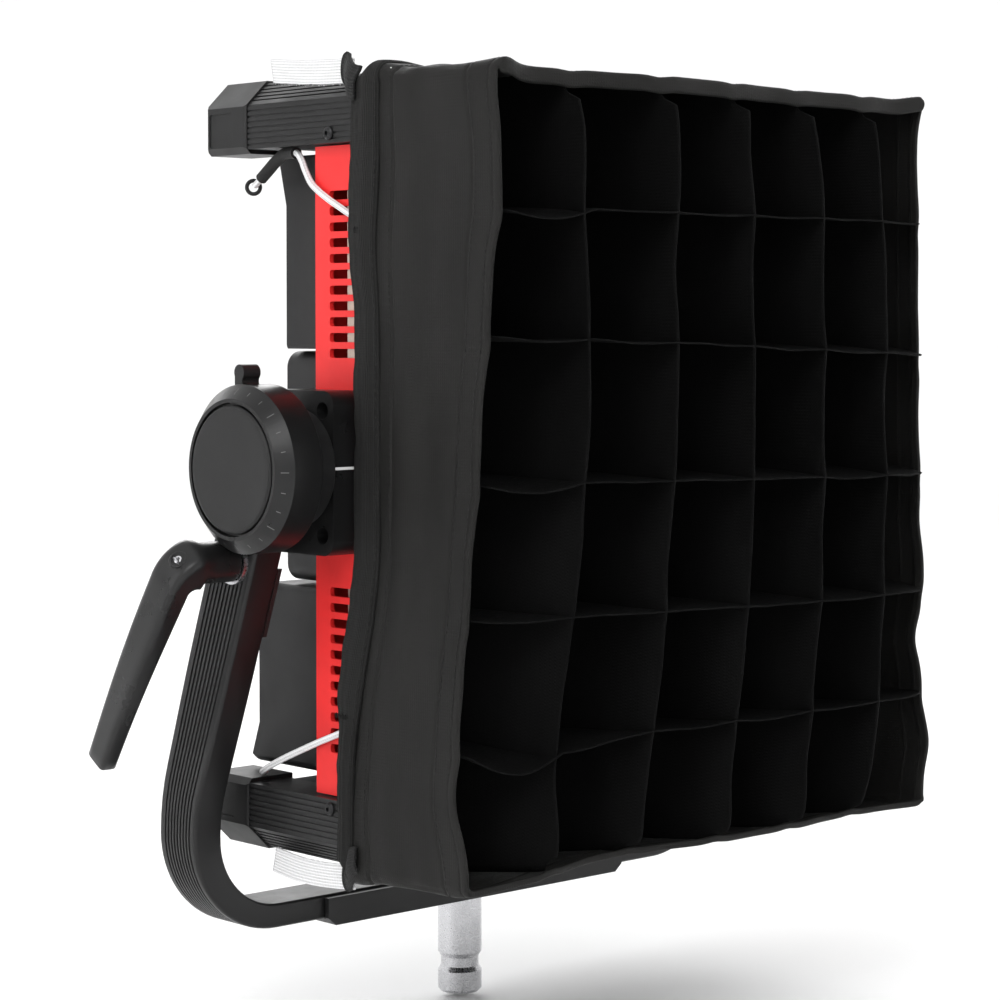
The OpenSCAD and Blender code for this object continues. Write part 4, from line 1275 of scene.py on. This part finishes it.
def make_hubs():
    for tag in ("left", "right"):
        soften("hub_housing_" + tag, MATS["hub_metal"], width=0.9, segments=3, degrees=30)
        soften("hub_cap_" + tag, MATS["cap_plastic"], width=0.4, segments=2, degrees=25)
    make_hub_details()


# ---- clamp lever ---------------------------------------------------------------

LEVER_ANGLE = math.radians(32.3)
LEVER_LONG = 144.0           # spindle to tip
LEVER_INNER = 229.6          # inner end of the barrel, from the middle of the yoke
LEVER_OUT = 266.5            # middle of the arm's thickness
ELBOW = 15.0                 # radius of the bend between barrel and arm


def lever_frame(x, down, across):
    """A point of the lever: out along -X, down its length and across its width, in mm."""
    y = down * math.sin(LEVER_ANGLE) + across * math.cos(LEVER_ANGLE)
    z = -down * math.cos(LEVER_ANGLE) + across * math.sin(LEVER_ANGLE)
    return Vector((-x * MM, SPINDLE.y + y * MM, SPINDLE.z + z * MM))


def lever_section(wide, thick, corner, sides=40):
    """A squarish section: half width, half thickness and how round it is."""
    power = mix(7.0, 2.0, corner)
    points = []
    for k in range(sides):
        a = 2 * math.pi * k / sides
        c, s = math.cos(a), math.sin(a)
        r = (abs(c) ** power + abs(s) ** power) ** (-1 / power)
        points.append((wide * r * c, thick * r * s))
    return points


def make_lever():
    """The lever, swept along its barrel, elbow and arm. A station is a place, a direction,
    half the width, half the thickness and how round it is."""
    axis_x = LEVER_OUT - ELBOW
    stations = []
    for k in range(5):
        x = mix(LEVER_INNER + 0.2, axis_x, k / 4)
        stations.append((Vector((x, 0)), Vector((1, 0)), 12.0, 12.0, 1.0))
    for k in range(1, 13):
        a = math.radians(90 * k / 12)
        t = k / 12
        centre = Vector((axis_x + ELBOW * math.sin(a), ELBOW * (1 - math.cos(a))))
        stations.append((centre, Vector((math.cos(a), math.sin(a))), mix(12.4, 11.6, t),
                         mix(12.0, 7.4, smooth(t)), mix(1.0, 0.12, smooth(t * 4))))
    for k in range(1, 22):
        t = k / 21
        centre = Vector((LEVER_OUT + 1.6 * math.sin(math.pi * t), mix(ELBOW, LEVER_LONG - 1.2, t)))
        stations.append((centre, Vector((0, 1)), mix(11.6, 8.4, smooth(t * 0.9)), mix(7.4, 5.6, t), 0.12))
    tip, ahead, wide, thick, corner = stations[-1]
    for grow, shrink in ((0.7, 0.94), (1.1, 0.84)):
        stations.append((tip + Vector((0, grow)), ahead, wide * shrink, thick * shrink, corner))
    verts = []
    sides = 40
    for centre, ahead, wide, thick, corner in stations:
        normal = Vector((ahead.y, -ahead.x))
        for across, out in lever_section(wide, thick, corner, sides):
            p = centre + normal * out
            verts.append(lever_frame(p.x, p.y, across))
    faces = grid_faces(len(stations), sides, close_v=True) + end_caps(len(verts), sides)
    lever = add_piece("lever", verts, faces, MATS["lever"], "handle")
    face_outwards(lever)
    mark_sharp(lever, 50)
    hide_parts("clamp_handle")
    make_lever_screw(axis_x)


def make_lever_screw(axis_x):
    """The raised eye on the elbow with its bright screw."""
    lean = math.radians(40)
    reach = ELBOW + 9.4
    place = lever_frame(axis_x + reach * math.sin(lean), ELBOW - reach * math.cos(lean), 0)
    out = (place - lever_frame(axis_x, ELBOW, 0)).normalized()
    rim = [(5.6, -4.0), (5.6, 0.6), (5.1, 1.1), (4.3, 1.1), (3.9, 0.5), (3.8, 0.1), (0.0, 0.1)]
    well = lathe("lever_recess", in_metres(rim), place, out, MATS["lever"], "handle", steps=48)
    mark_sharp(well, 35)
    head = [(0.0, 0.3), (1.1, 0.3), (1.1, 0.9), (2.1, 0.9), (2.6, 0.5), (2.6, 0.0)]
    screw = lathe("lever_screw", in_metres(head), place, out, MATS["steel"], "handle", steps=36)
    mark_sharp(screw, 35)


# ---- knobs and other hard details --------------------------------------------

def make_knobs():
    """Two turning knobs with fluted sides."""
    for tag in ("left", "right"):
        low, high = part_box("knob_" + tag)
        middle = (low + high) / 2
        ribs = 36
        verts = []
        profile = [(3.0, 0), (12.4, 0), (13.0, 0.8), (13.0, 11.6), (12.2, 12.8), (11.6, 13.2),
                   (11.4, 14.4), (10.6, 15), (4, 15), (0.01, 14.6)]
        steps = ribs * 6
        face_y = high.y - 15 * MM
        for k in range(steps):
            a = 2 * math.pi * k / steps
            flute = 0.35 * max(0.0, math.cos(ribs * a)) ** 2
            for r, h in profile:
                grip = flute if 12.9 < r and 0.5 < h < 12 else 0
                rr = (r - grip) * MM
                around = Vector((rr * math.cos(a), 0, rr * math.sin(a)))
                verts.append(Vector((middle.x, face_y + h * MM, middle.z)) + around)
        faces = grid_faces(steps, len(profile), close_u=True)
        knob = add_piece("dial_" + tag, verts, faces, MATS["control"], "knob_" + tag)
        face_outwards(knob)
        mark_sharp(knob, 34)
        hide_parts("knob_" + tag)


SOFTENED = {
    # node: (material, bevel width in mm, segments)
    "base_block": ("black_plastic", 1.2, 3),
    "tilt_latch": ("control", 0.8, 3),
    "mount_block_left": ("hub_metal", 1.4, 3),
    "mount_block_right": ("hub_metal", 1.4, 3),
    "corner_caps": ("cap_plastic", 0.7, 3),
    "rail_top_left": ("rail_metal", 0.22, 2),
    "rail_top_right": ("rail_metal", 0.22, 2),
    "rail_bottom_left": ("rail_metal", 0.22, 2),
    "rail_bottom_right": ("rail_metal", 0.22, 2),
    "chassis_left": ("red_paint", 0.35, 2),
    "chassis_right": ("red_paint", 0.35, 2),
    "control_box": ("box_metal", 1.6, 3),
    "spine_box": ("box_metal", 1.2, 3),
    "power_box": ("box_metal", 1.6, 3),
    "front_bezel": ("box_metal", 0.5, 2),
    "grip_bars": ("rail_metal", 0.4, 2),
    "display": ("screen", 0.3, 2),
    "power_inlet": ("black_plastic", 0.4, 2),
    "data_sockets": ("black_plastic", 0.4, 2),
    "power_rocker": ("control", 0.4, 2),
    "fan_frames": ("black_plastic", 0.4, 2),
}


def make_softened():
    for node, (material, width, segments) in SOFTENED.items():
        piece = soften(node, MATS[material], width=width, segments=segments)


# ---- stage ------------------------------------------------------------------------

def make_stage():
    """A pale floor that curves up into a wall all round."""
    floor_z = CAD_LOW.z - 0.004
    flat, cove = 4.4, 1.6
    outline = [(0, 0), (1.5, 0), (3, 0), (flat, 0.0)]
    for degrees in range(10, 91, 10):
        a = math.radians(degrees)
        outline.append((flat + cove * math.sin(a), cove * (1 - math.cos(a))))
    outline += [(6.0, 3.2), (6.0, 5.5)]
    verts, steps = [], 64
    for k in range(steps):
        a = 2 * math.pi * k / steps
        verts.extend(Vector((r * math.cos(a), r * math.sin(a), floor_z + h)) for r, h in outline)
    mesh = bpy.data.meshes.new("studio_floor")
    mesh.from_pydata([tuple(v) for v in verts], [], grid_faces(steps, len(outline), close_u=True))
    mesh.polygons.foreach_set("use_smooth", [True] * len(mesh.polygons))
    floor = bpy.data.objects.new("studio_floor", mesh)
    bpy.context.collection.objects.link(floor)
    material, _, shader = start_material("pale_floor")
    shader.inputs["Base Color"].default_value = (0.97, 0.97, 0.97, 1)
    shader.inputs["Roughness"].default_value = 0.9
    shader.inputs["Specular IOR Level"].default_value = 0.1
    floor.data.materials.append(material)


def add_light(name, place, target, size, power, colour=(1, 1, 1)):
    data = bpy.data.lights.new(name, "AREA")
    data.shape = "RECTANGLE"
    data.size, data.size_y = size
    data.energy = power
    data.color = colour
    lamp = bpy.data.objects.new(name, data)
    lamp.location = place
    lamp.rotation_euler = (Vector(target) - Vector(place)).to_track_quat("-Z", "Y").to_euler()
    bpy.context.collection.objects.link(lamp)


def make_lights():
    world = bpy.data.worlds.new("soft_world")
    bpy.context.scene.world = world
    world.use_nodes = True
    bpy.context.scene.view_settings.view_transform = "Standard"
    background = world.node_tree.nodes["Background"]
    background.inputs["Color"].default_value = (1, 1, 1, 1)
    background.inputs["Strength"].default_value = 1.08
    middle = (0, -0.1, 0.29)
    add_light("key", (-2.2, -1.6, 2.2), middle, (1.6, 1.6), 34)
    add_light("left_fill", (-2.6, 0.6, 0.6), middle, (1.4, 2.2), 14)
    add_light("front_fill", (0.6, -3.0, 0.8), middle, (2.0, 2.0), 5)
    add_light("rear", (1.2, 2.4, 1.8), middle, (1.6, 1.6), 26)


def make_camera():
    """Near eye level with the lamp, 43 degrees round to its left, as the photograph is taken."""
    data = bpy.data.cameras.new("camera")
    data.sensor_width = 36
    data.lens = 98.1
    pitch = math.radians(1.9)
    forward = Vector((0.676, 0.737, 0)).normalized()
    forward = (forward * math.cos(pitch) + Vector((0, 0, -1)) * math.sin(pitch)).normalized()
    data.shift_y = -0.0875
    data.clip_end = 50
    camera = bpy.data.objects.new("camera", data)
    camera.location = HEAD + Vector((-1176, -1091, 83)) * MM
    camera.rotation_euler = forward.to_track_quat("-Z", "Y").to_euler()
    bpy.context.collection.objects.link(camera)
    bpy.context.scene.camera = camera


make_camera()
make_cords()
dress_cad_nodes()
make_sleeve()
make_sleeve_stitches()
make_band()
make_band_stitches()
make_grid()
make_diffuser()
make_tabs()
make_yoke()
make_hubs()
make_lever()
make_knobs()
make_softened()
make_stage()
make_lights()
